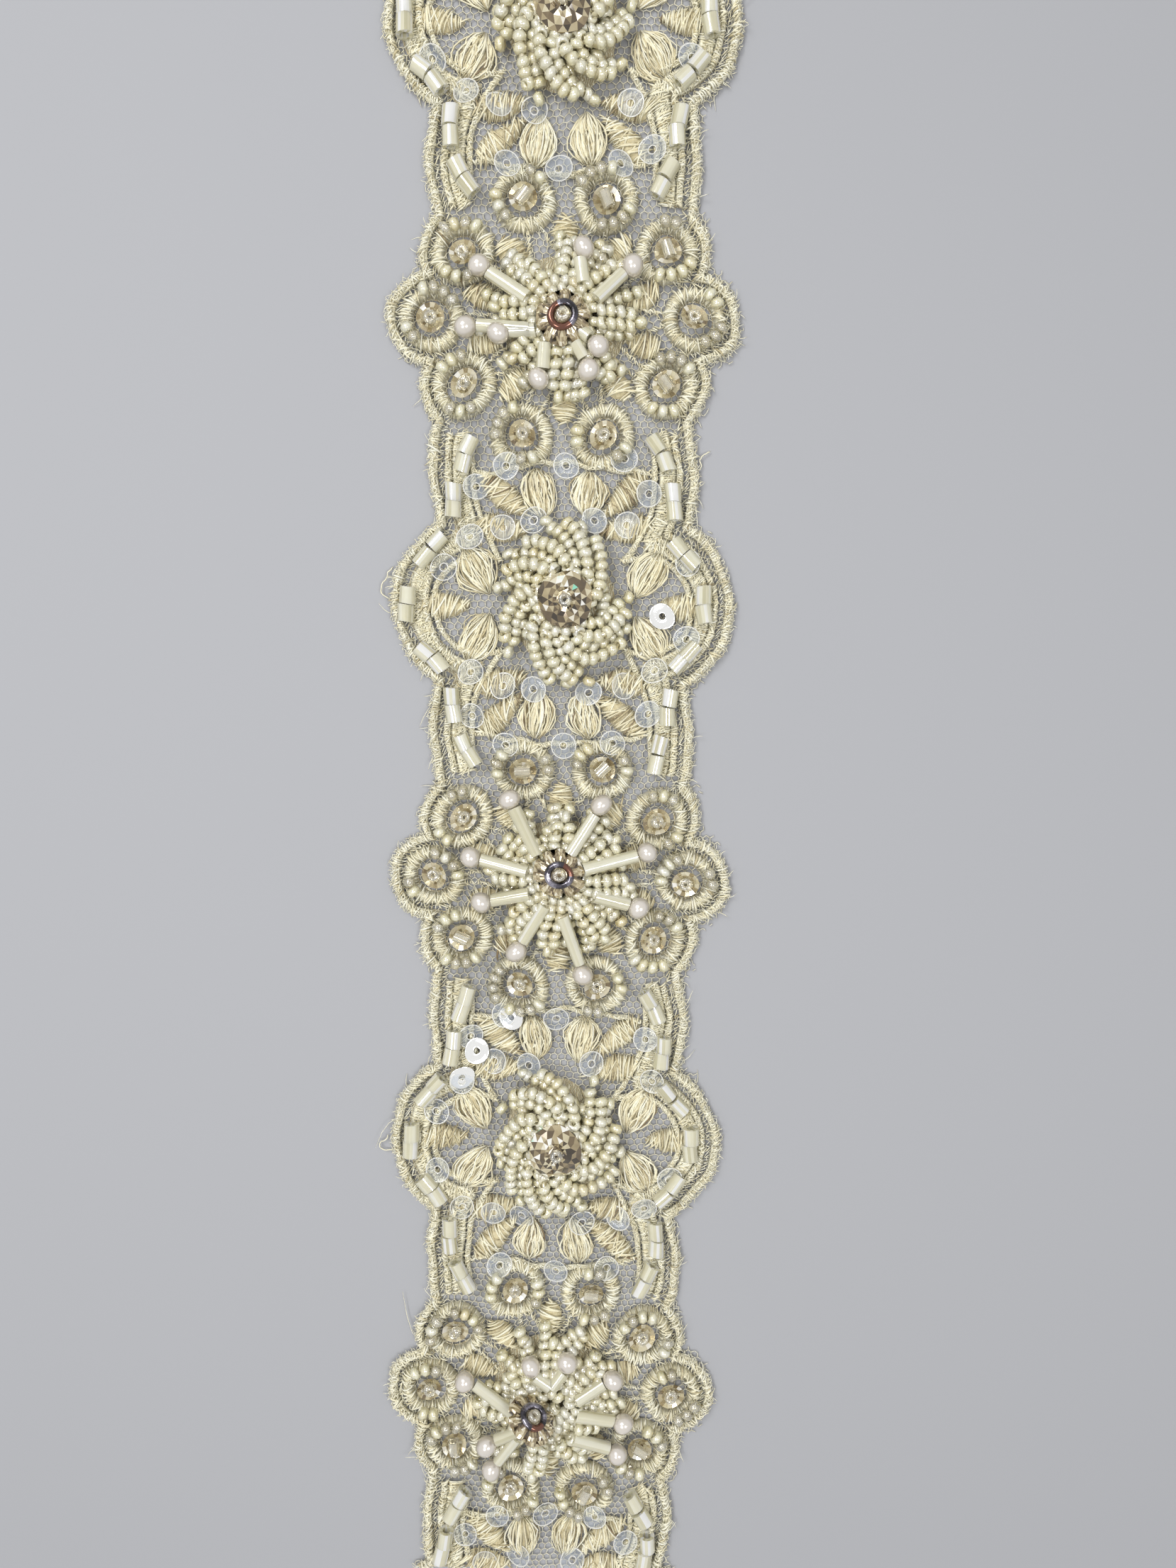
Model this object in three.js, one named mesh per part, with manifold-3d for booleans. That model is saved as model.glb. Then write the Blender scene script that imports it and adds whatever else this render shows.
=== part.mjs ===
// A beaded lace trim, lying face up: a scalloped length of net with corded edges, on which star motifs
// (a leaf wreath, a swirl of seed beads, a crystal) and flower motifs (a wreath of rings, a mound of
// beads with eight pearls, a crystal) follow each other. Millimetres, +Y along the trim, +Z up.
import * as THREE from "three";
import { mergeVertices } from "three/addons/utils/BufferGeometryUtils.js";
import Module from "manifold-3d";

const wasm = await Module();
wasm.setup();

// ---------------------------------------------------------------- driving dimensions
const PITCH = 42.2;             // from one motif's centre to the next
const REPEATS = 3;              // repeats of one star motif and one flower motif
const TAIL = 11;                // the start of a further star, cut across, past the last flower
const BOW_RADIUS = 7200;        // the length lies in a very slight bend to one side
const LENGTH = 2 * REPEATS * PITCH + TAIL;

const GAP = 0.3;                // clearance between a piece and what carries it
const NET_THICKNESS = 1.0;
const STITCH_THICKNESS = 0.8;   // raised embroidery
const CORD_THICKNESS = 1.2;
const CORD_WIDTH = 1.3;
const BEADWORK_THICKNESS = 2.5; // seed-bead swirls and bead mounds
const BUGLE_WIDTH = 2.2;        // a bugle bead's diameter
const BUGLE_PAIR = 5.4;         // two bugle beads end to end
const PEARL_RADIUS = 1.5;
const CRYSTAL_RADIUS = 4.1;
const CRYSTAL_THICKNESS = 2.3;
const CRYSTAL_GIRDLE = 1.0;     // height of its widest line
const CRYSTAL_FOOT = 2.6;       // radii of its flat back and its table
const CRYSTAL_TABLE = 2.3;
const CRYSTAL_FACETS = 9;
const FACET_ERROR = 0.3;        // how far a flat facet may cut inside its arc

// Heights of the layers above the table
const ON_NET = NET_THICKNESS + GAP;
const ON_STITCHES = ON_NET + STITCH_THICKNESS + GAP;
const ON_BEADWORK = ON_STITCHES + BEADWORK_THICKNESS + GAP;

// The edge is a run of arcs that bulge outwards. Each row is one arc of the right-hand edge in the repeat:
// its distance along the trim from the star's centre, the distance of its centre from the axis, its radius.
const STAR_LOBE = { along: 0, off: 12.2, radius: 13.9 };
const SHOULDER = { along: 19.8, off: -6.8, radius: 27.1 };
const RING_LOBE_UPPER = { along: PITCH - 9.6, off: 15.1, radius: 6.6 };
const RING_LOBE_MIDDLE = { along: PITCH, off: 19.6, radius: 6.8 };

// Leaves of the star's wreath in one quarter of it, from the side to the top: where each leaf's middle is,
// its length and width, the angle it points to, and how far its stem reaches back from it
const LEAVES = [
  { name: "side", x: 13.0, y: 4.4, length: 7.4, width: 4.8, angle: 74, stem: 0 },
  { name: "upper", x: 9.0, y: 11.2, length: 7.4, width: 3.4, angle: 8, stem: 0.6 },
  { name: "diagonal", x: 9.0, y: 16.2, length: 8.2, width: 3.6, angle: 42, stem: 0.9 },
  { name: "crown", x: 3.5, y: 15.7, length: 6.2, width: 4.6, angle: 82, stem: 0.4 },
];
const TIP_LEAF = { name: "tip", x: 17.4, y: 0, length: 5.2, width: 4.0, angle: 0, stem: 2.0 };
const STEM_WIDTH = 1.0;
const LEAF_BELLY = 0.06;        // where a leaf is widest, past its middle, as a share of its length
const LEAF_TIP = 0.2;           // half-width of its blunt tip, as a share of its width

// Rings of the flower's wreath in one half of it, anticlockwise. Each ring's outside shows for RING_SHOWING
// degrees either way from its outermost point, and the rest runs into the ground that joins them.
const RINGS = [
  { x: 19.6, y: 0 }, { x: 15.1, y: 9.6 }, { x: 6.1, y: 17.0 }, { x: -6.1, y: 17.0 }, { x: -15.1, y: 9.6 },
];
const RING_OUTER = 5.0;
const RING_INNER = 2.7;
const RING_SHOWING = 130;
const RING_FACETS = 6;

// Open windows in the net between the leaves, in one quarter of the star: corners of each one
const WINDOWS = [
  { name: "beside the side leaf", corners: [[15.4, 2.9], [19.4, 2.3], [18.2, 6.0], [16.1, 6.9]] },
  { name: "at the shoulder", corners: [[11.6, 13.6], [13.8, 13.5], [13.6, 17.4], [12.2, 16.2]] },
];
const CROWN_WINDOW = [[-1.5, 18.6], [0, 15.2], [1.5, 18.6], [3.2, 20.4], [-3.2, 20.4]];

// Pairs of bugle beads on one side of the star's upper half
const BUGLE_PAIRS = [
  { x: 18.5, y: 7.6, angle: 132 },
  { x: 16.6, y: 15.3, angle: 93 },
  { x: 14.7, y: 22.5, angle: 116 },
];
const BUGLE_MIDDLE = { x: 21.5, y: 0, angle: 90 };
const BORDER_OUTER = 2.1;       // the bugle border's two sides, in from the trim's edge
const BORDER_INNER = 4.6;
const BORDER_REACH = 26.6;      // how far it runs up and down from the star's centre

// The swirl of a star: each arm leaves its valley, sweeps round by so many degrees and ends in a blunt tip
const SWIRL = {
  arms: 9, rx: 9.6, ry: 12.2, valley: 0.62, shoulder: 0.95, shoulderSweep: 21, tipSweep: 34, bevel: 0.7,
};

const FLOWER_ARMS = 8;
const PEARL_REACH = 13.0;       // from the flower's middle to a pearl's middle
const PEARL_SPREAD = 0.8;
const FLOWER_ARM_SHORT = 2.1;   // how far an arm stops short of its pearl's middle
const ARM_START_ANGLE = 16;
const ARM_SPREAD = 7;
const SPREAD_PACE = { angle: 2.4, reach: 1.9, flowerAngle: 1.7, flowerReach: 2.3 };  // of the uneven spread
// The outline between two arms: shares of the way from one to the next, and distances from the middle
const BETWEEN_ARMS = [
  { share: 0.30, reach: 5.2 }, { share: 0.41, reach: 8.4 },
  { share: 0.59, reach: 8.4 }, { share: 0.70, reach: 5.2 },
];
// One flower has worked loose: it has slid down, its upper arms are drawn in and its crystal leans over
const LOOSE_FLOWER = { number: 3, slipX: -0.5, slipY: -2.4, drawnIn: 0.36 };
const LEANING_CRYSTAL = { tilt: 48, turn: 158, slideX: -1.2, slideY: -1.4 };

// ---------------------------------------------------------------- colours
const finish = (color, roughness, metalness = 0) =>
  new THREE.MeshStandardMaterial({ color, roughness, metalness });
const CREAM_NET = () => finish(0xe9e2cc, 0.9);
const CREAM_THREAD = () => finish(0xddd2ac, 0.75);
const CREAM_BEAD = () => finish(0xd9d0a8, 0.25);
const CREAM_BUGLE = () => finish(0xe2dbb8, 0.2);
const PEARL_WHITE = () => finish(0xe6dde0, 0.2);
const SMOKE_CRYSTAL = () => finish(0x8f7f64, 0.1, 0.6);

// ---------------------------------------------------------------- geometry helpers
const radians = THREE.MathUtils.degToRad;

// A point of the straight trim, put on its slight bend. The bend's middle is the middle of the length.
function bowed(x, y) {
  const turn = y / BOW_RADIUS;
  return new THREE.Vector2((BOW_RADIUS + x) * Math.cos(turn) - BOW_RADIUS, (BOW_RADIUS + x) * Math.sin(turn));
}

// Along the trim from its middle, counted from the top: star 1, flower 1, star 2, flower 2 and so on
const starAt = (number) => LENGTH / 2 - PITCH * (2 * number - 1.5);
const flowerAt = (number) => starAt(number) - PITCH;

// The arcs of the right-hand edge all along the trim, set in by a distance, from the bottom to the top
function edgeArcs(inset) {
  const arcs = [];
  const add = (centre, arc, side) =>
    arcs.push({ y: centre + side * arc.along, x: arc.off, radius: arc.radius - inset });
  for (let number = 1; number <= REPEATS + 1; number += 1) {
    add(starAt(number), STAR_LOBE, 1);
    for (const side of [-1, 1]) {
      add(starAt(number), SHOULDER, side);
      add(starAt(number), RING_LOBE_UPPER, side);
    }
    add(starAt(number), RING_LOBE_MIDDLE, -1);
  }
  return arcs.sort((a, b) => a.y - b.y);
}

// Where two arcs meet on the side away from the axis
function notch(a, b) {
  const across = new THREE.Vector2(b.x - a.x, b.y - a.y);
  const distance = across.length();
  const along = (distance ** 2 + a.radius ** 2 - b.radius ** 2) / (2 * distance);
  const half = Math.sqrt(Math.max(0, a.radius ** 2 - along ** 2));
  across.normalize();
  return new THREE.Vector2(a.x + across.x * along + across.y * half, a.y + across.y * along - across.x * half);
}

// Points of the right-hand edge between two heights, set in by a distance, with one facet for each part of
// an arc that stays inside FACET_ERROR
function edgePoints(inset, bottom, top) {
  const arcs = edgeArcs(inset);
  const points = [];
  arcs.forEach((arc, i) => {
    const onArc = (y) => new THREE.Vector2(arc.x + Math.sqrt(arc.radius ** 2 - (y - arc.y) ** 2), y);
    let start = i > 0 ? notch(arcs[i - 1], arc) : onArc(arc.y);
    let end = i < arcs.length - 1 ? notch(arc, arcs[i + 1]) : onArc(arc.y);
    if (end.y <= bottom || start.y >= top) return;
    if (start.y < bottom) start = onArc(bottom);
    if (end.y > top) end = onArc(top);
    const from = Math.atan2(start.y - arc.y, start.x - arc.x);
    const sweep = Math.atan2(end.y - arc.y, end.x - arc.x) - from;
    const facets = Math.ceil(sweep / (2 * Math.acos(1 - FACET_ERROR / arc.radius)));
    for (let k = points.length ? 1 : 0; k <= facets; k += 1) {
      const angle = from + (sweep * k) / facets;
      points.push(new THREE.Vector2(arc.radius, 0).rotateAround(new THREE.Vector2(), angle).add(arc));
    }
  });
  return points;
}

const mirrored = (points) => points.map((p) => new THREE.Vector2(-p.x, p.y)).reverse();
const extruded = (shape, depth, bevel = 0) => new THREE.ExtrudeGeometry(shape, {
  depth: depth - 2 * bevel, steps: 1, bevelEnabled: bevel > 0,
  bevelThickness: bevel, bevelSize: bevel, bevelOffset: -bevel, bevelSegments: 1,
}).translate(0, 0, bevel);

function toSolid(geometry) {
  const bare = geometry.clone();
  bare.deleteAttribute("normal");
  bare.deleteAttribute("uv");
  const merged = mergeVertices(bare, 1e-4);
  return new wasm.Manifold(new wasm.Mesh({
    numProp: 3,
    vertProperties: new Float32Array(merged.attributes.position.array),
    triVerts: new Uint32Array(merged.index.array),
  }));
}

function toGeometry(solid) {
  const mesh = solid.getMesh();
  const geometry = new THREE.BufferGeometry();
  geometry.setAttribute("position", new THREE.BufferAttribute(mesh.vertProperties, 3));
  geometry.setIndex(new THREE.BufferAttribute(mesh.triVerts, 1));
  return geometry;
}

const joined = (geometries) => geometries.map(toSolid).reduce((whole, next) => whole.add(next));

// A motif's solid, cut off where the trim ends
function insideEnds(solid, along) {
  const block = new THREE.BoxGeometry(4 * PITCH, LENGTH, PITCH).translate(0, -along, 0);
  return solid.intersect(toSolid(block));
}

function piece(name, geometry, material, z = 0) {
  const mesh = new THREE.Mesh(geometry, material);
  mesh.name = name;
  mesh.position.z = z;
  return mesh;
}

// ---------------------------------------------------------------- net ground
// One length of tulle, a little inside the cords that finish its edge, open at its largest windows
function netGround() {
  const right = edgePoints(GAP, -LENGTH / 2, LENGTH / 2);
  const outline = [...right, ...mirrored(right)].map((p) => bowed(p.x, p.y));
  const shape = new THREE.Shape(outline);
  const cut = (corners, centre, sx, sy) => shape.holes.push(
    new THREE.Path(corners.map(([x, y]) => bowed(sx * x, centre + sy * y))),
  );
  for (let number = 1; number <= REPEATS; number += 1) {
    for (const sy of [-1, 1]) {
      cut(CROWN_WINDOW, starAt(number), 1, sy);
      for (const sx of [-1, 1]) WINDOWS.forEach((window) => cut(window.corners, starAt(number), sx, sy));
    }
  }
  return piece("net_ground", extruded(shape, NET_THICKNESS), CREAM_NET());
}

// ---------------------------------------------------------------- edge cords
// A thick couched cord round every scallop of one side
function edgeCord(side) {
  const outer = edgePoints(0, -LENGTH / 2, LENGTH / 2);
  const inner = edgePoints(CORD_WIDTH, -LENGTH / 2, LENGTH / 2).reverse();
  const outline = [...outer, ...inner].map((p) => bowed(side * p.x, p.y));
  const name = side < 0 ? "edge_cord_left" : "edge_cord_right";
  return piece(name, extruded(new THREE.Shape(outline), CORD_THICKNESS), CREAM_THREAD(), ON_NET);
}

// ---------------------------------------------------------------- star motif
// A leaf's outline, up its right side and back down its left
function leafOutline({ x, y, length, width, angle, stem }) {
  const widths = [
    [-length / 2 - stem, STEM_WIDTH / 2], [LEAF_BELLY * length, width / 2], [length / 2, LEAF_TIP * width],
  ];
  const sides = [...widths.map(([along, half]) => [along, -half]), ...[...widths].reverse()];
  const middle = new THREE.Vector2(x, y);
  const origin = new THREE.Vector2();
  return sides.map((side) => new THREE.Vector2(...side).rotateAround(origin, radians(angle)).add(middle));
}

const quarterTurned = (row, sx, sy) => ({
  ...row, x: sx * row.x, y: sy * row.y, angle: sx > 0 ? sy * row.angle : 180 - sy * row.angle,
});

// Eighteen satin leaves whose roots run together under the beads, taken in order round the star
function leafWreath(number) {
  const quarter = (sx, sy) => LEAVES.map((row) => quarterTurned(row, sx, sy));
  const leaves = [
    TIP_LEAF, ...quarter(1, 1), ...quarter(-1, 1).reverse(),
    quarterTurned(TIP_LEAF, -1, 1), ...quarter(-1, -1), ...quarter(1, -1).reverse(),
  ];
  const wreath = extruded(new THREE.Shape(leaves.flatMap(leafOutline)), STITCH_THICKNESS);
  const geometry = number > REPEATS ? toGeometry(insideEnds(toSolid(wreath), starAt(number))) : wreath;
  return piece(`leaf_wreath_${number}`, geometry, CREAM_THREAD(), ON_NET);
}

// A satin band inside the edge cord, with seven pairs of bugle beads couched on it
function bugleBorder(number, side) {
  const bottom = Math.max(starAt(number) - BORDER_REACH, -LENGTH / 2);
  const top = Math.min(starAt(number) + BORDER_REACH, LENGTH / 2);
  const bandEdge = (inset) => edgePoints(inset, bottom, top);
  const band = [...bandEdge(BORDER_OUTER), ...bandEdge(BORDER_INNER).reverse()];
  const outline = band.map((p) => new THREE.Vector2(side * p.x, p.y - starAt(number)));
  const rows = [BUGLE_MIDDLE, ...BUGLE_PAIRS, ...BUGLE_PAIRS.map((row) => quarterTurned(row, 1, -1))]
    .filter((row) => Math.abs(starAt(number) + row.y) < LENGTH / 2 - BUGLE_PAIR / 2);
  const pairs = rows.map((row) => {
    const { x, y, angle } = quarterTurned(row, side, 1);
    return new THREE.BoxGeometry(BUGLE_PAIR, BUGLE_WIDTH, BUGLE_WIDTH)
      .rotateZ(radians(angle)).translate(x, y, BUGLE_WIDTH / 2);
  });
  const name = `bugle_border_${number}_${side < 0 ? "left" : "right"}`;
  const border = joined([extruded(new THREE.Shape(outline), STITCH_THICKNESS), ...pairs]);
  return piece(name, toGeometry(border), CREAM_BUGLE(), ON_NET);
}

// A raised swirl of seed beads: each arm sweeps anticlockwise as it runs out
function beadRosette(number) {
  const points = [];
  for (let arm = 0; arm < SWIRL.arms; arm += 1) {
    const start = (360 / SWIRL.arms) * arm;
    const at = (reach, degrees) => {
      const angle = radians(start + degrees);
      points.push(new THREE.Vector2(SWIRL.rx * reach * Math.cos(angle), SWIRL.ry * reach * Math.sin(angle)));
    };
    at(SWIRL.valley, 0);
    at(SWIRL.shoulder, SWIRL.shoulderSweep);
    at(1, SWIRL.tipSweep);
  }
  const geometry = extruded(new THREE.Shape(points), BEADWORK_THICKNESS, SWIRL.bevel);
  return piece(`bead_rosette_${number}`, geometry, CREAM_BEAD(), ON_STITCHES);
}

// ---------------------------------------------------------------- flower motif
// Ten satin rings, open in the middle, joined by the embroidered ground between them
function ringWreath(number) {
  const outline = [];
  const eyes = [];
  const along = (centre, radius, angle) => new THREE.Vector2(
    centre.x + radius * Math.cos(angle), centre.y + radius * Math.sin(angle),
  );
  for (const turn of [1, -1]) {
    for (const ring of RINGS) {
      const centre = new THREE.Vector2(turn * ring.x, turn * ring.y);
      const showing = radians(RING_SHOWING);
      for (let i = 0; i <= RING_FACETS; i += 1) {
        outline.push(along(centre, RING_OUTER, centre.angle() + showing * ((2 * i) / RING_FACETS - 1)));
      }
      const corners = Array.from({ length: RING_FACETS }, (_, i) => (2 * Math.PI * i) / RING_FACETS);
      eyes.push(new THREE.Path(corners.map((angle) => along(centre, RING_INNER, centre.angle() + angle))));
    }
  }
  const shape = new THREE.Shape(outline);
  shape.holes.push(...eyes);
  return piece(`ring_wreath_${number}`, extruded(shape, STITCH_THICKNESS), CREAM_THREAD(), ON_NET);
}

// The arms of a flower aren't quite evenly spread, and each flower differs a little
const armAngle = (flower, arm) =>
  ARM_START_ANGLE + (360 / FLOWER_ARMS) * arm
  + ARM_SPREAD * Math.sin(SPREAD_PACE.angle * arm + SPREAD_PACE.flowerAngle * flower);

function pearlReach(flower, arm) {
  const wave = Math.sin(SPREAD_PACE.reach * arm + SPREAD_PACE.flowerReach * flower);
  const reach = PEARL_REACH + PEARL_SPREAD * wave;
  const upward = Math.max(0, Math.sin(radians(armAngle(flower, arm))));
  return flower === LOOSE_FLOWER.number ? reach * (1 - LOOSE_FLOWER.drawnIn * upward) : reach;
}

// A mound of beads with eight long bugle arms, and a short loop of seed beads between each two
function beadFlower(number) {
  const points = [];
  const at = (reach, degrees) => points.push(
    new THREE.Vector2(reach * Math.cos(radians(degrees)), reach * Math.sin(radians(degrees))),
  );
  for (let arm = 0; arm < FLOWER_ARMS; arm += 1) {
    const angle = armAngle(number, arm);
    const next = arm < FLOWER_ARMS - 1 ? armAngle(number, arm + 1) : armAngle(number, 0) + 360;
    const reach = pearlReach(number, arm) - FLOWER_ARM_SHORT;
    const halfTip = THREE.MathUtils.radToDeg(0.5 * BUGLE_WIDTH / reach);
    at(reach, angle - halfTip);
    at(reach, angle + halfTip);
    BETWEEN_ARMS.forEach((corner) => at(corner.reach, THREE.MathUtils.lerp(angle, next, corner.share)));
  }
  const geometry = extruded(new THREE.Shape(points), BEADWORK_THICKNESS);
  return piece(`bead_flower_${number}`, geometry, CREAM_BEAD(), ON_STITCHES);
}

function pearl(flower, arm) {
  const angle = radians(armAngle(flower, arm));
  const reach = pearlReach(flower, arm);
  const ball = new THREE.SphereGeometry(PEARL_RADIUS, 6, 4).rotateX(Math.PI / 2);
  const mesh = piece(`pearl_${flower}_${arm + 1}`, ball, PEARL_WHITE());
  mesh.position.set(reach * Math.cos(angle), reach * Math.sin(angle), ON_STITCHES + PEARL_RADIUS);
  return mesh;
}

// ---------------------------------------------------------------- crystals
// A round foiled stone, widest at its girdle, with a flat table
function crystal(name) {
  const profile = [
    [0, 0], [CRYSTAL_FOOT, 0], [CRYSTAL_RADIUS, CRYSTAL_GIRDLE],
    [CRYSTAL_TABLE, CRYSTAL_THICKNESS], [0, CRYSTAL_THICKNESS],
  ];
  const geometry = new THREE.LatheGeometry(profile.map(([r, z]) => new THREE.Vector2(r, z)), CRYSTAL_FACETS);
  return piece(name, geometry.rotateX(Math.PI / 2), SMOKE_CRYSTAL(), ON_BEADWORK);
}

// ---------------------------------------------------------------- assembly
const trim = new THREE.Group();
trim.add(netGround(), edgeCord(-1), edgeCord(1));

// Each motif keeps its own straight frame, set on the bend
function motif(along, pieces) {
  const group = new THREE.Group();
  const place = bowed(0, along);
  group.position.set(place.x, place.y, 0);
  group.rotation.z = along / BOW_RADIUS;
  group.add(...pieces);
  trim.add(group);
}

const starGround = (number) => [leafWreath(number), bugleBorder(number, -1), bugleBorder(number, 1)];

// A flower's beads, pearls and crystal, which move together where the flower is loose
function beadwork(number) {
  const group = new THREE.Group();
  const stone = crystal(`crystal_flower_${number}`);
  if (number === LOOSE_FLOWER.number) {
    const tilt = radians(LEANING_CRYSTAL.tilt);
    group.position.set(LOOSE_FLOWER.slipX, LOOSE_FLOWER.slipY, 0);
    stone.rotation.set(tilt, 0, radians(LEANING_CRYSTAL.turn), "ZXY");
    const lift = CRYSTAL_RADIUS * Math.sin(tilt) - CRYSTAL_GIRDLE * Math.cos(tilt);
    stone.position.add(new THREE.Vector3(LEANING_CRYSTAL.slideX, LEANING_CRYSTAL.slideY, lift));
  }
  group.add(beadFlower(number), stone);
  for (let arm = 0; arm < FLOWER_ARMS; arm += 1) group.add(pearl(number, arm));
  return group;
}

for (let number = 1; number <= REPEATS; number += 1) {
  motif(starAt(number), [...starGround(number), beadRosette(number), crystal(`crystal_star_${number}`)]);
  motif(flowerAt(number), [ringWreath(number), beadwork(number)]);
}
motif(starAt(REPEATS + 1), starGround(REPEATS + 1));

// The origin is the middle of the footprint, on the table
trim.updateMatrixWorld(true);
const middle = new THREE.Box3().setFromObject(trim, true).getCenter(new THREE.Vector3());
trim.position.set(-middle.x, -middle.y, 0);

export default trim;
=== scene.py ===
import math

import bpy
import numpy as np
from mathutils import Matrix, Vector


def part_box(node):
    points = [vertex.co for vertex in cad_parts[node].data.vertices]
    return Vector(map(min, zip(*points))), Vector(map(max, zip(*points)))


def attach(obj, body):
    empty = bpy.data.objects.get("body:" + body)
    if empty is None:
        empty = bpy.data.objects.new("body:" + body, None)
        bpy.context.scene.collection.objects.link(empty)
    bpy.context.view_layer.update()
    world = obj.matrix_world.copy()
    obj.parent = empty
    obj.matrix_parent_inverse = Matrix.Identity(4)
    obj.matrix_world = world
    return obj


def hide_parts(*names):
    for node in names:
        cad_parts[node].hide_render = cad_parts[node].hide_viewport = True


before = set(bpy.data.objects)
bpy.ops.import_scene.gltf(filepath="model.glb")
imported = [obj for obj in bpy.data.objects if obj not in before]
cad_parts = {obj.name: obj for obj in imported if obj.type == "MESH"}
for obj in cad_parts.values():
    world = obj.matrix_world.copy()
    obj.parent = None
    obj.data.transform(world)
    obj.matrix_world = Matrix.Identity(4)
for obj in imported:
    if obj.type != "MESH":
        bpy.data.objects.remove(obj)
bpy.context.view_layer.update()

# ---------------------------------------------------------------- the trim's lie, and the camera
# The trim lies face up in a very slight bend. Everything below is worked out on a straight trim, in
# millimetres, x across it and y along it from its middle, and set_down() then lays it on the bend.
# The camera looks down on its face from a little past the middle, towards the end that is whole.
MM = 0.001
REPEATS = 3
TAIL = 11                      # the start of a fourth repeat
BOW_RADIUS = 7200


def centre_of(node):
    """The middle of a solid's box, in millimetres."""
    low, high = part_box(node)
    return np.array((low + high) / 2) / MM


def bowed(points):
    turn = points[..., 1] / BOW_RADIUS
    out = BOW_RADIUS + points[..., 0]
    return np.stack([out * np.cos(turn) - BOW_RADIUS, out * np.sin(turn)], axis=-1)


star_middle, flower_middle = (centre_of(node)[:2] for node in ("leaf_wreath_2", "ring_wreath_2"))
PITCH = float(np.linalg.norm(star_middle - flower_middle))
LENGTH = 2 * REPEATS * PITCH + TAIL
star_y = {number: LENGTH / 2 - PITCH * (2 * number - 1.5) for number in range(1, REPEATS + 2)}
flower_y = {number: star_y[number] - PITCH for number in range(1, REPEATS + 1)}
shift = star_middle - bowed(np.array([0.0, star_y[2]]))


def set_down(points):
    """Lays points of the straight trim where they belong, with the small unevenness of sewn lace."""
    x, y = points[..., 0], points[..., 1]
    uneven_x = 0.22 * np.sin(0.31 * y + 1.3) + 0.12 * np.sin(0.83 * y + 0.4 * x)
    uneven_y = 0.20 * np.sin(0.37 * x + 0.2 * y) + 0.10 * np.sin(0.9 * x + 0.5)
    flat = bowed(np.stack([x + uneven_x, y + uneven_y], axis=-1)) + shift
    return np.concatenate([flat, points[..., 2:]], axis=-1)


CAMERA_DISTANCE = 183
CAMERA_LEAN = math.radians(5.6)
CAMERA_ROLL = math.radians(0.8)
LOOKED_AT = (4.2, -0.8)

lens = bpy.data.cameras.new("camera")
lens.lens = 27
lens.sensor_width = 36
camera = bpy.data.objects.new("camera", lens)
bpy.context.scene.collection.objects.link(camera)
bpy.context.scene.camera = camera
aim = Vector((*(bowed(np.array(LOOKED_AT)) + shift), 0))
back = Vector((0, math.sin(CAMERA_LEAN), math.cos(CAMERA_LEAN)))
camera.location = (aim + CAMERA_DISTANCE * back) * MM
upward = Vector((-math.sin(CAMERA_ROLL), math.cos(CAMERA_ROLL), 0))
right = upward.cross(back).normalized()
camera.rotation_mode = "QUATERNION"
turned = [right, back.cross(right), back]
camera.rotation_quaternion = Matrix([[row[i] for row in turned] for i in range(3)]).to_quaternion()
lens.clip_start = 0.01
bpy.context.scene.view_settings.view_transform = "Standard"

# ---------------------------------------------------------------- light and floor
# A plain pale table top under a soft, even sky, with one broad lamp and two small ones that give each
# bead its glints. Far from the lamps the table glows a little, so that it looks as pale there as here.


class Wire:
    """A value between nodes. Python's operators on it add the Math nodes."""

    def __init__(self, network, socket):
        self.network = network
        self.socket = socket

    def maths(self, operation, *values):
        return self.network.node("ShaderNodeMath", {"operation": operation}, dict(enumerate(values)))

    def __add__(self, other):
        return self.maths("ADD", self, other)

    def __mul__(self, other):
        return self.maths("MULTIPLY", self, other)

    def __sub__(self, other):
        return self.maths("SUBTRACT", self, other)

    def __rsub__(self, other):
        return self.maths("SUBTRACT", other, self)

    __radd__ = __add__
    __rmul__ = __mul__


class Network:
    """A tree of nodes that are added one call at a time."""

    def __init__(self, tree):
        self.tree = tree

    def node(self, kind, settings, sockets, output=0):
        made = self.tree.nodes.new(kind)
        for name, value in settings.items():
            if name == "stops":
                set_stops(made.color_ramp, value)
            else:
                setattr(made, name, value)
        for name, value in sockets.items():
            self.feed(made.inputs[name], value)
        return Wire(self, made.outputs[output])

    def feed(self, socket, value):
        if isinstance(value, Wire):
            self.tree.links.new(value.socket, socket)
        else:
            socket.default_value = value

    def shown(self):
        """1 for a ray that shows what it meets, also by way of gloss or glass, and 0 for one that lights."""
        kinds = ("Is Camera Ray", "Is Glossy Ray", "Is Transmission Ray")
        straight, gloss, glass = (self.node("ShaderNodeLightPath", {}, {}, output=kind) for kind in kinds)
        return straight.maths("MAXIMUM", straight.maths("MAXIMUM", straight, gloss), glass)


class Finish(Network):
    """A material: the nodes that feed one shader."""

    def __init__(self, name):
        self.material = bpy.data.materials.new(name)
        self.material.use_nodes = True
        super().__init__(self.material.node_tree)
        self.shader = self.tree.nodes["Principled BSDF"]

    def surface(self, **sockets):
        for name, value in sockets.items():
            self.feed(self.shader.inputs[name.replace("_", " ")], value)

    def place(self):
        return self.node("ShaderNodeTexCoord", {}, {}, output="Object")

    def noise(self, scale, detail=2.0):
        sockets = {"Vector": self.place(), "Scale": scale, "Detail": detail}
        return self.node("ShaderNodeTexNoise", {}, sockets)

    def tone(self):
        return self.node("ShaderNodeAttribute", {"attribute_name": "tone"}, {}, output="Fac")

    def ramp(self, value, stops):
        return self.node("ShaderNodeValToRGB", {"stops": stops}, {"Fac": value})

    def bump(self, height, distance):
        return self.node("ShaderNodeBump", {}, {"Height": height, "Distance": distance})


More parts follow.
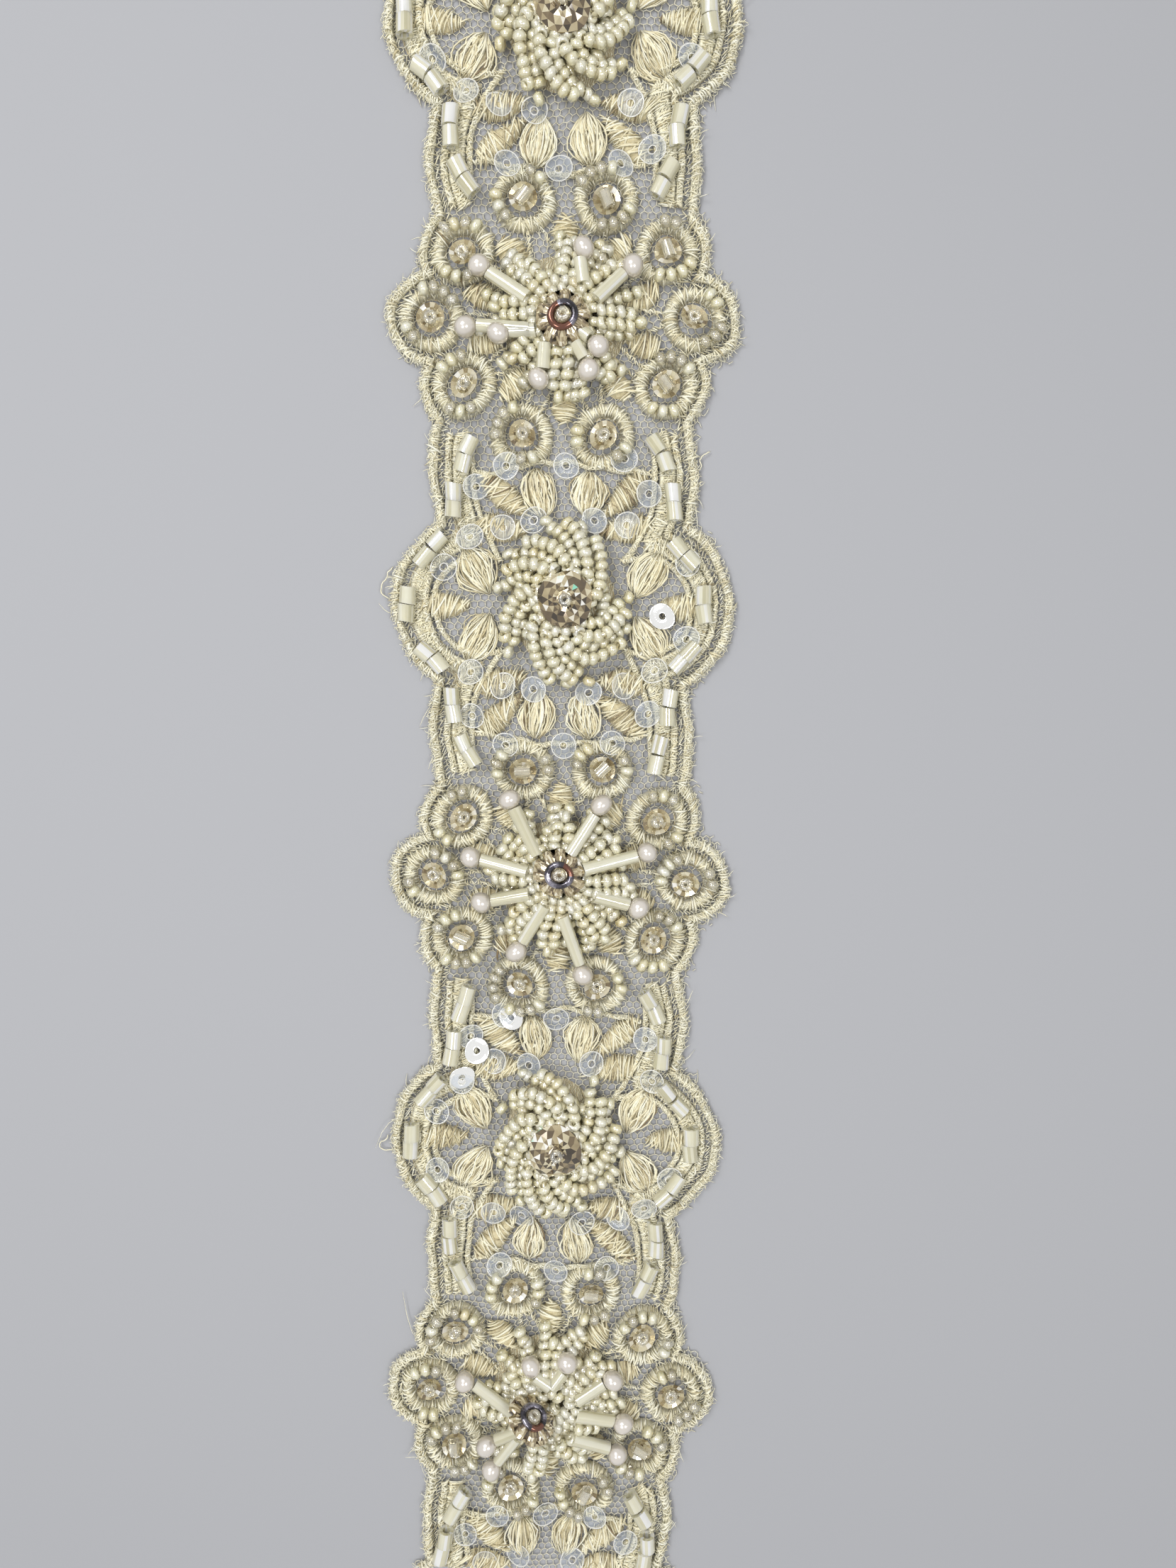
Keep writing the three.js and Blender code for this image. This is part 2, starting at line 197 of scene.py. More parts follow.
def set_stops(ramp, stops):
    for element, (position, colour) in zip(ramp.elements, (stops[0], stops[-1])):
        element.position = position
        element.color = colour
    for position, colour in stops[1:-1]:
        ramp.elements.new(position).color = colour


def colour(red, green, blue):
    """A colour given as it looks, from 0 to 255, in the linear values that materials take."""
    return (*(((value / 255 + 0.055) / 1.055) ** 2.4 for value in (red, green, blue)), 1)


def grey(value):
    return (value, value, value, 1)


TABLE_SIZE = 4
TABLE_GREY = (176, 177, 181)
FAR_GLOW = [(0.18, grey(0)), (0.4, grey(0.12)), (0.7, grey(0.22)), (1.0, grey(0.28))]

bpy.ops.object.select_all(action="DESELECT")
bpy.ops.mesh.primitive_grid_add(x_subdivisions=8, y_subdivisions=8, size=TABLE_SIZE)
floor = bpy.context.object
floor.name = "table_top"
table = Finish("pale_table")
distance = table.node("ShaderNodeVectorMath", {"operation": "LENGTH"}, {0: table.place()}, output="Value")
table.surface(Base_Color=colour(*TABLE_GREY), Roughness=0.9, Emission_Strength=table.shown(),
              Emission_Color=table.ramp(distance, FAR_GLOW))
floor.data.materials.append(table.material)

SKY_LIGHT = 0.4
SKY_SEEN = 0.88

bpy.context.scene.world = bpy.data.worlds.new("sky")
bpy.context.scene.world.use_nodes = True
sky = Network(bpy.context.scene.world.node_tree)
skylight = sky.tree.nodes["Background"].inputs
skylight["Color"].default_value = (1, 1, 1, 1)
brightness = {"Value": sky.shown(), "To Min": SKY_LIGHT, "To Max": SKY_SEEN}
sky.feed(skylight["Strength"], sky.node("ShaderNodeMapRange", {}, brightness))


def lamp(name, place, size, power):
    light = bpy.data.lights.new(name, "AREA")
    light.size = size * MM
    light.energy = power
    lit = bpy.data.objects.new(name, light)
    lit.location = Vector(place) * MM
    lit.rotation_mode = "QUATERNION"
    lit.rotation_quaternion = Vector(place).to_track_quat("Z", "Y")
    bpy.context.scene.collection.objects.link(lit)


lamp("broad_lamp", (-200, 220, 440), 200, 1.15)
lamp("left_lamp", (-150, -90, 440), 110, 0.5)
lamp("right_lamp", (170, -60, 430), 110, 0.5)

# ---------------------------------------------------------------- net ground
# One length of fine cotton-cream tulle with hexagonal holes, which carries all the rest. Under dense
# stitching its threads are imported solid, so there it's a flat ground, and it's thread by thread elsewhere.
NET_PITCH = 1.12
NET_THREAD = 0.085
NET_HEIGHT = 0.45
NET_REACH = 30                 # wider than half the trim
KNOT_SCATTER = 0.07
SHRED_RIGHT = 1.7              # how far scraps of net stand out past the edge, between the scallops
SHRED_LEFT = 0.8
SHRED_SPREAD = 2.6
GROUND_HEIGHT = 0.40
STAR_LOBE = {"along": 0, "off": 12.2, "radius": 13.9}
WAIST = 16
SHOULDER = {"along": 19.8, "off": -6.8, "radius": 27.1}
RING_LOBE_UPPER = {"along": PITCH - 9.6, "off": 15.1, "radius": 6.6}
RING_LOBE_MIDDLE = {"along": PITCH, "off": 19.6, "radius": 6.8}
LEAVES = [
    {"x": 12.9, "y": 4.9, "length": 7.8, "width": 5.8, "angle": 62, "lengthwise": True},
    {"x": 9.4, "y": 11.7, "length": 8.4, "width": 4.7, "angle": 8, "lengthwise": False},
    {"x": 9.2, "y": 16.6, "length": 9.6, "width": 4.2, "angle": 42, "lengthwise": False},
    {"x": 3.6, "y": 16.6, "length": 7.6, "width": 5.2, "angle": 83, "lengthwise": True},
]
TIP_LEAF = {"x": 18.0, "y": 0, "length": 8.0, "width": 4.4, "angle": 0, "lengthwise": False}
RINGS = [(19.6, 0), (15.1, 9.6), (6.1, 17.0), (-6.1, 17.0), (-15.1, 9.6)]
RING_OUTER = 5.0
RING_INNER = 2.6
SWIRL_ACROSS = 9.6
SWIRL_ALONG = 12.2
SWIRL_GROUND = 0.84            # how much of the swirl lies on flat ground, as a share of its size
MOUND = 9.4                    # radius of the ground under a bead flower
SWIRL_PADDING = 2.0
FLOWER_PADDING = 1.6
BORDER_REACH = 26              # how far a star's border runs up and down from its centre
EDGE_GROUND = (0.25, 1.2)      # the flat grounds along an edge, from and to, inward from the edge
BORDER_GROUND = (2.3, 5.3)
EDGE_COVERED = (0.35, 1.05)    # where stitching along an edge covers the net's threads
BORDER_COVERED = (2.5, 5.6)
COVERED_IN = 0.5               # how far inside a leaf or ring its stitches cover the net


def quarter_turned(leaf, flip_x, flip_y):
    angle = flip_y * leaf["angle"] if flip_x > 0 else 180 - flip_y * leaf["angle"]
    return {**leaf, "x": flip_x * leaf["x"], "y": flip_y * leaf["y"], "angle": angle}


FLIPS = [(1, 1), (1, -1), (-1, 1), (-1, -1)]
star_leaves = [quarter_turned(leaf, *flip) for leaf in LEAVES for flip in FLIPS]
star_leaves += [TIP_LEAF, quarter_turned(TIP_LEAF, -1, 1)]
flower_rings = [(turn * x, turn * y) for turn in (1, -1) for x, y in RINGS]


def edge_arcs(inset):
    """The arcs of the right-hand edge from the bottom up, as rows of y, x and radius."""
    arcs = []
    for y in star_y.values():
        for arc in (SHOULDER, RING_LOBE_UPPER):
            arcs += [(y + side * arc["along"], arc["off"], arc["radius"] - inset) for side in (1, -1)]
        arcs.append((y, STAR_LOBE["off"], STAR_LOBE["radius"] - inset))
        arcs.append((y - PITCH, RING_LOBE_MIDDLE["off"], RING_LOBE_MIDDLE["radius"] - inset))
    return np.array(sorted(arcs))


def depth(points):
    """How far points lie inside the trim's edge."""
    arcs = edge_arcs(0)
    x, y = np.abs(points[..., 0, None]), points[..., 1, None]
    within_arcs = np.max(arcs[:, 2] - np.hypot(x - arcs[:, 1], y - arcs[:, 0]), axis=-1)
    return np.maximum(within_arcs, WAIST - x[..., 0])


def half_width(leaf, share):
    """Half the width of a leaf at a part of its length: full towards its rounded tip."""
    return leaf["width"] / 2 * np.sin(np.pi * np.clip(share, 0, 1) ** 1.3) ** 0.55


def on_leaf(leaf, share, sideways):
    """A point of a leaf, at a part of its length and a distance from its midline."""
    angle = math.radians(leaf["angle"])
    forward = (np.asarray(share) - 0.5) * leaf["length"]
    x = leaf["x"] + forward * math.cos(angle) - sideways * math.sin(angle)
    y = leaf["y"] + forward * math.sin(angle) + sideways * math.cos(angle)
    return np.stack(np.broadcast_arrays(x, y), axis=-1)


def in_leaf(leaf, points):
    angle = math.radians(leaf["angle"])
    dx, dy = points[..., 0] - leaf["x"], points[..., 1] - leaf["y"]
    forward = dx * math.cos(angle) + dy * math.sin(angle)
    sideways = dy * math.cos(angle) - dx * math.sin(angle)
    return np.abs(sideways) < half_width(leaf, forward / leaf["length"] + 0.5) - COVERED_IN


def stitched_over(points):
    """Whether points lie well under dense stitching or beadwork, where no net shows."""
    inset = depth(points)
    hidden = (inset > EDGE_COVERED[0]) & (inset < EDGE_COVERED[1])
    for y in star_y.values():
        near = points - [0, y]
        beside = (inset > BORDER_COVERED[0]) & (inset < BORDER_COVERED[1])
        hidden |= beside & (np.abs(near[..., 1]) < BORDER_REACH)
        hidden |= np.hypot(near[..., 0] / SWIRL_ACROSS, near[..., 1] / SWIRL_ALONG) < SWIRL_GROUND
        for leaf in star_leaves:
            hidden |= in_leaf(leaf, near)
    for y in flower_y.values():
        near = points - [0, y]
        hidden |= np.hypot(near[..., 0], near[..., 1]) < MOUND
        for x, along in flower_rings:
            away = np.hypot(near[..., 0] - x, near[..., 1] - along)
            hidden |= (away > RING_INNER + COVERED_IN) & (away < RING_OUTER - COVERED_IN)
    return hidden


def unit(vectors):
    return vectors / (np.linalg.norm(vectors, axis=-1, keepdims=True) + 1e-9)


def headings(points):
    """The way ahead at each point of a line."""
    return unit(np.gradient(points, axis=-2))


def left_of(ahead):
    return np.stack([-ahead[..., 1], ahead[..., 0]], axis=-1)


def facing(turn):
    """The way that an angle points."""
    return np.stack([np.cos(turn), np.sin(turn)], axis=-1)


def strands(paths, half, tones, flat=0.8, taper=0.5):
    """Threads as slim tubes with a flat underside. paths has a row of points for each, in millimetres."""
    count, steps = paths.shape[:2]
    along = headings(paths)
    side = unit(np.cross([0.0, 0.0, 1.0], along))
    over = np.cross(along, side) * flat
    size = np.broadcast_to(np.asarray(half, float).reshape(-1, 1, 1), (count, steps, 1)).copy()
    size[:, [0, -1]] *= taper
    corners = (side - 0.5 * over, over, -side - 0.5 * over)
    rings = np.stack([paths + corner * size for corner in corners], axis=2)
    step, around = np.arange(steps - 1)[:, None] * 3, np.arange(3)[None]
    after = (around + 1) % 3
    tube = np.stack([step + around, step + after, step + 3 + after, step + 3 + around], axis=-1)
    first = 3 * steps * np.arange(count)
    last = first + 3 * (steps - 1)
    none = np.full(count, -1)
    start = np.stack([first + 2, first + 1, first, none], axis=-1)
    end = np.stack([last, last + 1, last + 2, none], axis=-1)
    sides = tube.reshape(1, -1, 4) + first[:, None, None]
    faces = np.concatenate([sides, start[:, None], end[:, None]], axis=1)
    tones = np.broadcast_to(tones, (count,))
    return rings.reshape(-1, 3), faces.reshape(-1, 4), np.repeat(tones, faces.shape[1])


def joined(parts):
    """Several lots of points, faces and tones as one lot."""
    starts = np.cumsum([0] + [len(points) for points, _, _ in parts[:-1]])
    faces = [np.where(faces < 0, -1, faces + start) for (_, faces, _), start in zip(parts, starts)]
    return (np.concatenate([part[0] for part in parts]), np.concatenate(faces),
            np.concatenate([part[2] for part in parts]))


def piece(name, parts, finishes, replaced=(), smooth=True, lots=None):
    """A mesh from lots of points, four- or three-cornered faces and tones, laid down and dressed."""
    points, faces, tones = joined(parts)
    points = set_down(points) * MM
    sides = np.where(faces[:, 3] < 0, 3, 4)
    mesh = bpy.data.meshes.new(name)
    mesh.vertices.add(len(points))
    mesh.vertices.foreach_set("co", points.astype(np.float32).ravel())
    mesh.loops.add(int(sides.sum()))
    mesh.loops.foreach_set("vertex_index", faces.ravel()[faces.ravel() >= 0].astype(np.int32))
    mesh.polygons.add(len(faces))
    mesh.polygons.foreach_set("loop_start", np.concatenate([[0], np.cumsum(sides)[:-1]]).astype(np.int32))
    mesh.polygons.foreach_set("use_smooth", np.full(len(faces), smooth))
    mesh.update(calc_edges=True)
    mesh.validate()
    mesh.attributes.new("tone", "FLOAT", "FACE").data.foreach_set("value", tones.astype(np.float32))
    for finish in finishes:
        mesh.materials.append(finish.material)
    if lots:
        mesh.polygons.foreach_set("material_index", np.repeat(np.arange(len(lots)), lots).astype(np.int32))
    made = bpy.data.objects.new(name, mesh)
    bpy.context.scene.collection.objects.link(made)
    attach(made, "root")
    if replaced:
        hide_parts(*replaced)
    return made


def strip(inner, outer, tone):
    """A flat band between two lines of as many points."""
    count = len(inner)
    first = np.arange(count - 1)
    faces = np.stack([first, first + count, first + count + 1, first + 1], axis=-1)
    return np.concatenate([inner, outer]), faces, np.full(len(faces), tone)


def fan(outline, centre, tone):
    """A flat patch from its middle out to a closed outline, taken anticlockwise."""
    count = len(outline)
    first = np.arange(count)
    faces = np.stack([first, (first + 1) % count, np.full(count, count), np.full(count, -1)], axis=-1)
    return np.concatenate([outline, [centre]]), faces, np.full(count, tone)


disc = facing(np.linspace(0, 2 * np.pi, 24, endpoint=False))
ALL_ROUND = [*range(24), 0]


def leaf_outline(leaf, root, tip, wide):
    """Points round a leaf, anticlockwise, from one part of its length to another and so wide."""
    share = (1 - disc[:, 0]) / 2
    sideways = -np.sign(disc[:, 1]) * half_width(leaf, share) * wide
    return on_leaf(leaf, root + (tip - root) * share, sideways)[::-1]


DOME_STEPS = [(1.0, 0.0), (0.88, 0.5), (0.68, 0.8), (0.4, 0.95)]    # shares of its radius and its rise


def at_height(flat, heights):
    """Flat points with a height for all or a height for each."""
    return np.concatenate([flat, np.broadcast_to(heights, flat.shape[:-1])[..., None]], axis=-1)


def dome(outline, along, rise):
    """Padding under beads: a low dome whose foot is the outline."""
    rows = [at_height(outline * share, GROUND_HEIGHT + rise * up) + [0, along, 0]
            for share, up in DOME_STEPS]
    closed = [row[ALL_ROUND] for row in rows]
    bands = [strip(upper, lower, 0.4) for lower, upper in zip(closed, closed[1:])]
    return joined([*bands, fan(rows[-1], (0, along, GROUND_HEIGHT + rise), 0.4)])


def notch(first, second):
    """Where two arcs of the edge meet, away from the axis."""
    apart = (second - first)[1::-1]
    distance = np.linalg.norm(apart)
    along = (distance ** 2 + first[2] ** 2 - second[2] ** 2) / (2 * distance)
    half = math.sqrt(max(0, first[2] ** 2 - along ** 2))
    ahead = apart / distance
    return first[1::-1] + ahead * along - left_of(ahead) * half


def spaced(points, start, spacing, further=0.0):
    """Points at even steps along a line, or so much further on."""
    run = np.concatenate([[0], np.cumsum(np.linalg.norm(np.diff(points, axis=0), axis=1))])
    stations = np.arange(start, run[-1], spacing) + further
    return np.stack([np.interp(stations, run, row) for row in points.T], axis=-1)


def edge_line(inset, bottom, top, spacing, side=1):
    """Evenly spaced points of an edge, set in by a distance, and the outward directions."""
    arcs = edge_arcs(inset)
    dense = []
    for i, (y, x, radius) in enumerate(arcs):
        start = notch(arcs[i - 1], arcs[i]) if i else np.array([x + radius, y])
        end = notch(arcs[i], arcs[i + 1]) if i < len(arcs) - 1 else np.array([x + radius, y])
        low, high = (math.atan2(point[1] - y, point[0] - x) for point in (start, end))
        dense.append(radius * facing(np.linspace(low, high, 60)) + [x, y])
    dense = np.concatenate(dense)
    points = spaced(dense[(dense[:, 1] > bottom) & (dense[:, 1] < top)], 0, spacing)
    return points * [side, 1], -left_of(headings(points)) * [side, 1]


def stretch_at(y, reach):
    """The ends of the stretch that reaches so far down and up from y, inside the cut ends."""
    return max(y - reach, -LENGTH / 2), min(y + reach, LENGTH / 2)


def net_threads():
    """The hexagons: each knot of one kind joins three of the other kind."""
    side = NET_PITCH / math.sqrt(3)
    rows = int(LENGTH / 2 / (1.5 * side)) + 2
    columns = int(NET_REACH / NET_PITCH) + 2
    column, level = np.meshgrid(np.arange(-columns, columns + 1), np.arange(-rows, rows + 1), indexing="ij")
    lower = np.stack([(column + 0.5 * (level % 2)) * NET_PITCH, level * 1.5 * side], axis=-1)
    upper = lower + np.array([0, side])
    chance = np.random.default_rng(5)
    lower, upper = (knots + chance.normal(0, KNOT_SCATTER, knots.shape) for knots in (lower, upper))
    odd = (level[:, 1:] % 2).astype(int)
    before = np.clip(column[:, 1:] + columns + odd, 0, 2 * columns)
    row = np.broadcast_to(np.arange(rows * 2)[None], odd.shape)
    threads = [np.stack([lower, upper], axis=-2).reshape(-1, 2, 2)]
    for step in (0, -1):
        reached = np.clip(before + step, 0, 2 * columns)
        threads.append(np.stack([lower[:, 1:], upper[reached, row]], axis=-2).reshape(-1, 2, 2))
    return np.concatenate(threads)


threads = net_threads()
lengths = np.linalg.norm(threads[:, 0] - threads[:, 1], axis=-1)
threads = threads[lengths < 1.5 * NET_PITCH]
inside = np.max(np.abs(threads[..., 1]), axis=1) < LENGTH / 2
edge = edge_arcs(0)
notches = np.array([notch(edge[i], edge[i + 1])[1] for i in range(len(edge) - 1)])
from_notch = np.min(np.abs(threads[:, 0, 1, None] - notches), axis=1)
shred = np.where(threads[:, 0, 0] > 0, SHRED_RIGHT, SHRED_LEFT) * np.exp(-(from_notch / SHRED_SPREAD) ** 2)
shred *= np.random.default_rng(6).uniform(0.5, 1.1, len(shred))
inside &= np.min(depth(threads), axis=1) > 0.1 - shred
threads = threads[inside & ~np.all(stitched_over(threads), axis=1)]

linen = Finish("tulle_thread")
linen_shades = [(0.3, colour(226, 220, 196)), (0.7, colour(248, 245, 228))]
linen.surface(Base_Color=linen.ramp(linen.noise(900), linen_shades), Roughness=0.8)
packed = Finish("packed_thread")
waves = {"Vector": packed.place(), "Scale": 900, "Distortion": 14, "Detail": 3}
ridges = packed.node("ShaderNodeTexWave", {"wave_type": "BANDS"}, waves)
packed_shades = [(0.1, colour(204, 188, 150)), (0.5, colour(228, 217, 182)), (0.9, colour(244, 238, 212))]
packed.surface(Base_Color=packed.ramp(ridges, packed_shades), Roughness=0.8,
               Normal=packed.bump(ridges, 0.0002))


def margin(insets, low, high, side):
    """Solid ground along an edge, between two distances from it."""
    lines = [edge_line(inset, low, high, 1.0, side)[0] for inset in insets]
    count = min(len(line) for line in lines)
    chosen = [line[np.linspace(0, len(line) - 1, count).astype(int)] for line in lines]
    return strip(*(at_height(line, GROUND_HEIGHT) for line in chosen[::side]), 0.4)


grounds = []
for side in (1, -1):
    grounds.append(margin(EDGE_GROUND, -LENGTH / 2, LENGTH / 2, side))
    for y in star_y.values():
        grounds.append(margin(BORDER_GROUND, *stretch_at(y, BORDER_REACH), side))
for y in star_y.values():
    if y > SWIRL_ALONG - LENGTH / 2:
        grounds.append(dome(disc * [SWIRL_ACROSS, SWIRL_ALONG] * SWIRL_GROUND, y, SWIRL_PADDING))
    for leaf in star_leaves:
        patch = leaf_outline(leaf, 0, 1, 0.9) + [0, y]
        if abs(patch[:, 1]).max() < LENGTH / 2:
            middle = (leaf["x"], leaf["y"] + y, GROUND_HEIGHT)
            grounds.append(fan(at_height(patch, GROUND_HEIGHT), middle, 0.4))
for y in flower_y.values():
    grounds.append(dome(disc * MOUND, y, FLOWER_PADDING))
    for x, along in flower_rings:
        circles = [disc[ALL_ROUND] * radius + [x, y + along] for radius in (RING_INNER, RING_OUTER - 0.2)]
        grounds.append(strip(*(at_height(circle, GROUND_HEIGHT) for circle in circles), 0.4))

net = [strands(at_height(threads, NET_HEIGHT), NET_THREAD, 0.5, flat=0.7, taper=1)]
outline = edge_line(0, -LENGTH / 2, LENGTH / 2, 0.5)[0]
lots = [sum(len(part[1]) for part in group) for group in (net, grounds)]
tulle = piece("tulle_ground", net + grounds, [linen, packed], ["net_ground"], lots=lots)
2 * outline[:, 0].max() * MM

# ---------------------------------------------------------------- edge cords
# A thick cord of cotton thread round every scallop, wrapped with overcast stitches that pass over the
# cord and through the net, with stray fibres standing out past it.
STITCH_STEP = 0.38
STITCH_THREAD = 0.15
CORD_BASE = 0.45
LOWEST_THREAD = 0.2
CORD_INSET = 0.72
RIM_INSET = 0.1
CORD_GAP_INSET = 1.75          # the gap between the edge cord and what lies inside it
CORD_RISE = 1.3

cotton = Finish("cotton_thread")
shades = [(0.0, colour(138, 120, 90)), (0.22, colour(208, 195, 155)), (0.55, colour(248, 241, 210)),
          (1.0, colour(255, 253, 236))]
fibre = cotton.noise(2600, 3.0)
shade = cotton.ramp(cotton.tone() * 0.8 + fibre * 0.5 - 0.12, shades)
cotton.surface(Base_Color=shade, Roughness=0.72, Normal=cotton.bump(fibre, 0.00008), Sheen_Weight=0.25,
               Sheen_Roughness=0.4)


def off_line(points, across, aside, ahead):
    """Points moved from those of a line, by distances aside from it and along it."""
    return (points[:, None] + across[:, None] * aside[..., None]
            + left_of(across)[:, None] * ahead[..., None])


def overcast(line, half, rise, chance, slant=0.3, thread=STITCH_THREAD, rough=0.16):
    """Stitches over a cord: one at each point of a line, arched across it and a little askew."""
    points, across = line
    count = len(points)
    span = np.linspace(-1, 1, 5)
    wide = half * chance.normal(1, rough, count)[:, None] * span
    askew = (chance.normal(slant, 0.9, count) * STITCH_STEP)[:, None] * span
    height = CORD_BASE + rise * chance.normal(1, 0.16, count)[:, None] * np.sqrt(1 - 0.95 * span ** 2)
    paths = at_height(off_line(points, across, wide, askew), height)
    return strands(paths, thread * chance.normal(1, 0.2, count), chance.normal(0.75, 0.26, count))


def cord_core(line, half, rise):
    """The padding that shows between the stitches: three strands side by side."""
    points, across = line[0][::3], line[1][::3]
    lanes = [at_height(points + lane * half * across, CORD_BASE + rise * (0.62 - 0.5 * lane ** 2))
             for lane in (-0.6, 0, 0.6)]
    return strands(np.array(lanes), 0.42 * half, 0.75, flat=min(1.2, 0.7 * rise / half))


def stray_loops(line, half, lift, chance, share, reach, tone=0.6, thread=0.1):
    """Loose threads that wander along a cord, lifted over its stitches."""
    points, across = line
    chosen = chance.random(len(points)) < share
    points, across = points[chosen], across[chosen]
    count = len(points)
    span = np.linspace(-1, 1, 6)
    turn = chance.uniform(0.5, 1.5, count)[:, None]
    length = chance.uniform(0.5, 1.0, count)[:, None] * reach
    wave = chance.normal(0, 0.25, (count, 6))
    aside = (np.cos(turn) * span * length + wave + chance.normal(0, 0.3, count)[:, None]) * min(1, half)
    ahead = np.sin(turn) * span * length
    height = CORD_BASE + lift + chance.uniform(0.0, 0.25, count)[:, None]
    height = np.maximum(height - 0.45 * (aside / max(half, 0.5)) ** 2, LOWEST_THREAD)
    paths = at_height(off_line(points, across, aside, ahead), height)
    return strands(paths, thread, chance.normal(tone, 0.15, count))


HAIR_THREAD = 0.065
HAIR_REACH = 0.36


def hairs(line, chance):
    """Fine fibres that stand out from the edge, one at each point of a line."""
    points, across = line
    count = len(points)
    share = np.linspace(0, 1, 4)
    length = chance.exponential(HAIR_REACH, count)[:, None] + 0.15
    lean = chance.normal(0, 0.8, count)[:, None]
    curl = chance.normal(0, 0.5, count)[:, None]
    gone = share * length
    out = gone * np.cos(lean)
    ahead = gone * np.sin(lean) + curl * gone ** 2 + chance.uniform(-0.3, 0.3, count)[:, None]
    height = chance.uniform(0.5, 1.5, count)[:, None] + share * chance.normal(0, 0.4, count)[:, None]
    paths = at_height(off_line(points, across, out, ahead), np.maximum(height, LOWEST_THREAD))
    return strands(paths, HAIR_THREAD, chance.uniform(0.6, 1, count))


SIDES = ((1, "right"), (-1, "left"))

for side, name in SIDES:
    chance = np.random.default_rng(20 + side)
    line = edge_line(CORD_INSET, 0.2 - LENGTH / 2, LENGTH / 2 - 0.2, STITCH_STEP, side)
    rim = edge_line(RIM_INSET, 0.3 - LENGTH / 2, LENGTH / 2 - 0.3, STITCH_STEP, side)
    parts = [cord_core(line, 0.6, 1.2), overcast(line, 0.74, CORD_RISE, chance, rough=0.3),
             stray_loops(line, 0.72, CORD_RISE, chance, 0.75, 0.9, tone=0.75),
             stray_loops(rim, 0.6, 0.5, chance, 0.7, 0.9, tone=0.8, thread=0.07), hairs(rim, chance)]
    for y in flower_y.values():
        gap = edge_line(CORD_GAP_INSET, y - 16, y + 16, STITCH_STEP * 1.5, side)
        parts.append(overcast(gap, 0.5, 0.3, chance, slant=1.0, thread=0.09))
    piece(f"edge_cord_stitches_{name}", parts, [cotton], [f"edge_cord_{name}"])

# ---------------------------------------------------------------- star embroidery
# Each star's eighteen padded leaves, in satin stitch across the leaf or in long loose stitches down it,
# with a thin scroll of cord round them inside the beads and a swag of cord between star and flower.
LEAF_RISE = 1.25
# The padding under the leaves' stitches is coloured darker than the stitches: painted shade for the dark
# slits between them.
PAINTED_SHADE_TONE = 0.18
SWAG_REACH = 13.2              # half the width of a swag
SWAG_OUT = 20.6                # how far it lies from its star's centre
SCROLL_REACH = 23.5
SCROLL_INSET = 6.5


def leaf_padding(leaf):
    foot = at_height(leaf_outline(leaf, 0.06, 0.94, 0.8), 0.5)
    top = at_height(leaf_outline(leaf, 0.2, 0.8, 0.44), 0.45 + 0.75 * LEAF_RISE)
    first = np.arange(24)
    after = (first + 1) % 24
    faces = np.concatenate([np.stack([first, after, after + 24, first + 24], axis=-1),
                            np.stack([first + 24, after + 24, np.full(24, 48), np.full(24, -1)], axis=-1)])
    middle = [[leaf["x"], leaf["y"], 0.5 + 0.8 * LEAF_RISE]]
    return np.concatenate([foot, top, middle]), faces, np.full(48, PAINTED_SHADE_TONE)


def satin_leaf(leaf, chance):
    """Stitches from side to side, close together, all a little askew."""
    count = int(leaf["length"] * 0.9 / 0.28)
    share = np.linspace(0.05, 0.97, count)[:, None] + chance.normal(0, 0.02, (count, 1))
    span = np.linspace(-1, 1, 6)[None]
    half = half_width(leaf, share) * chance.normal(1, 0.05, (count, 1))
    askew = chance.normal(0.06, 0.07, (count, 1))
    flat = on_leaf(leaf, share + askew * span, half * span)
    rise = LEAF_RISE * (half / (leaf["width"] / 2)) ** 0.5 * chance.normal(1, 0.08, (count, 1))
    paths = at_height(flat, CORD_BASE + rise * np.sqrt(1 - 0.96 * span ** 2))
    return strands(paths, chance.normal(0.16, 0.02, count), chance.normal(0.45, 0.26, count))


def loose_leaf(leaf, chance, layers=3):
    """Long stitches from the root to the rounded tip, some of them apart, so that the darker padding shows
    between them as slits of painted shade.
    """
    parts = []
    for layer in range(layers):
        count = int(leaf["width"] / 0.42)
        span = np.linspace(-0.94, 0.94, count)[:, None] + chance.normal(0, 0.05, (count, 1))
        share = np.linspace(0, 1, 7)[None]
        start, end = chance.uniform(0.0, 0.12, (count, 1)), chance.uniform(0.86, 1.0, (count, 1))
        reach = start + (end - start) * share
        bend = chance.normal(0, 0.3, (count, 1)) * np.sin(np.pi * share)
        wave = chance.normal(0, 0.25, (count, 1)) * np.sin(7 * share)
        half = half_width(leaf, np.clip(reach, 0.02, 0.985))
        arch = np.sin(np.pi * np.clip(share, 0.03, 0.97)) ** 0.5 * (1 - 0.5 * span ** 2)
        height = 0.5 + (LEAF_RISE + 0.12 * layer) * arch
        paths = at_height(on_leaf(leaf, reach, span * half + bend + wave), height)
        parts.append(strands(paths, chance.normal(0.14, 0.03, count), chance.normal(0.55, 0.28, count)))
    return joined(parts)


def moved(part, along):
    points, faces, tones = part
    return points + np.array([0, along, 0]), faces, tones


def within_ends(part):
    """Drops what would lie past the trim's cut ends."""
    points, faces, tones = part
    corners = np.where(faces < 0, faces[:, :1], faces)
    kept = np.max(np.abs(points[corners][..., 1]), axis=1) < LENGTH / 2
    used = np.unique(corners[kept])
    renumbered = np.full(len(points) + 1, -1)
    renumbered[used] = np.arange(len(used))
    return points[used], renumbered[faces[kept]], tones[kept]


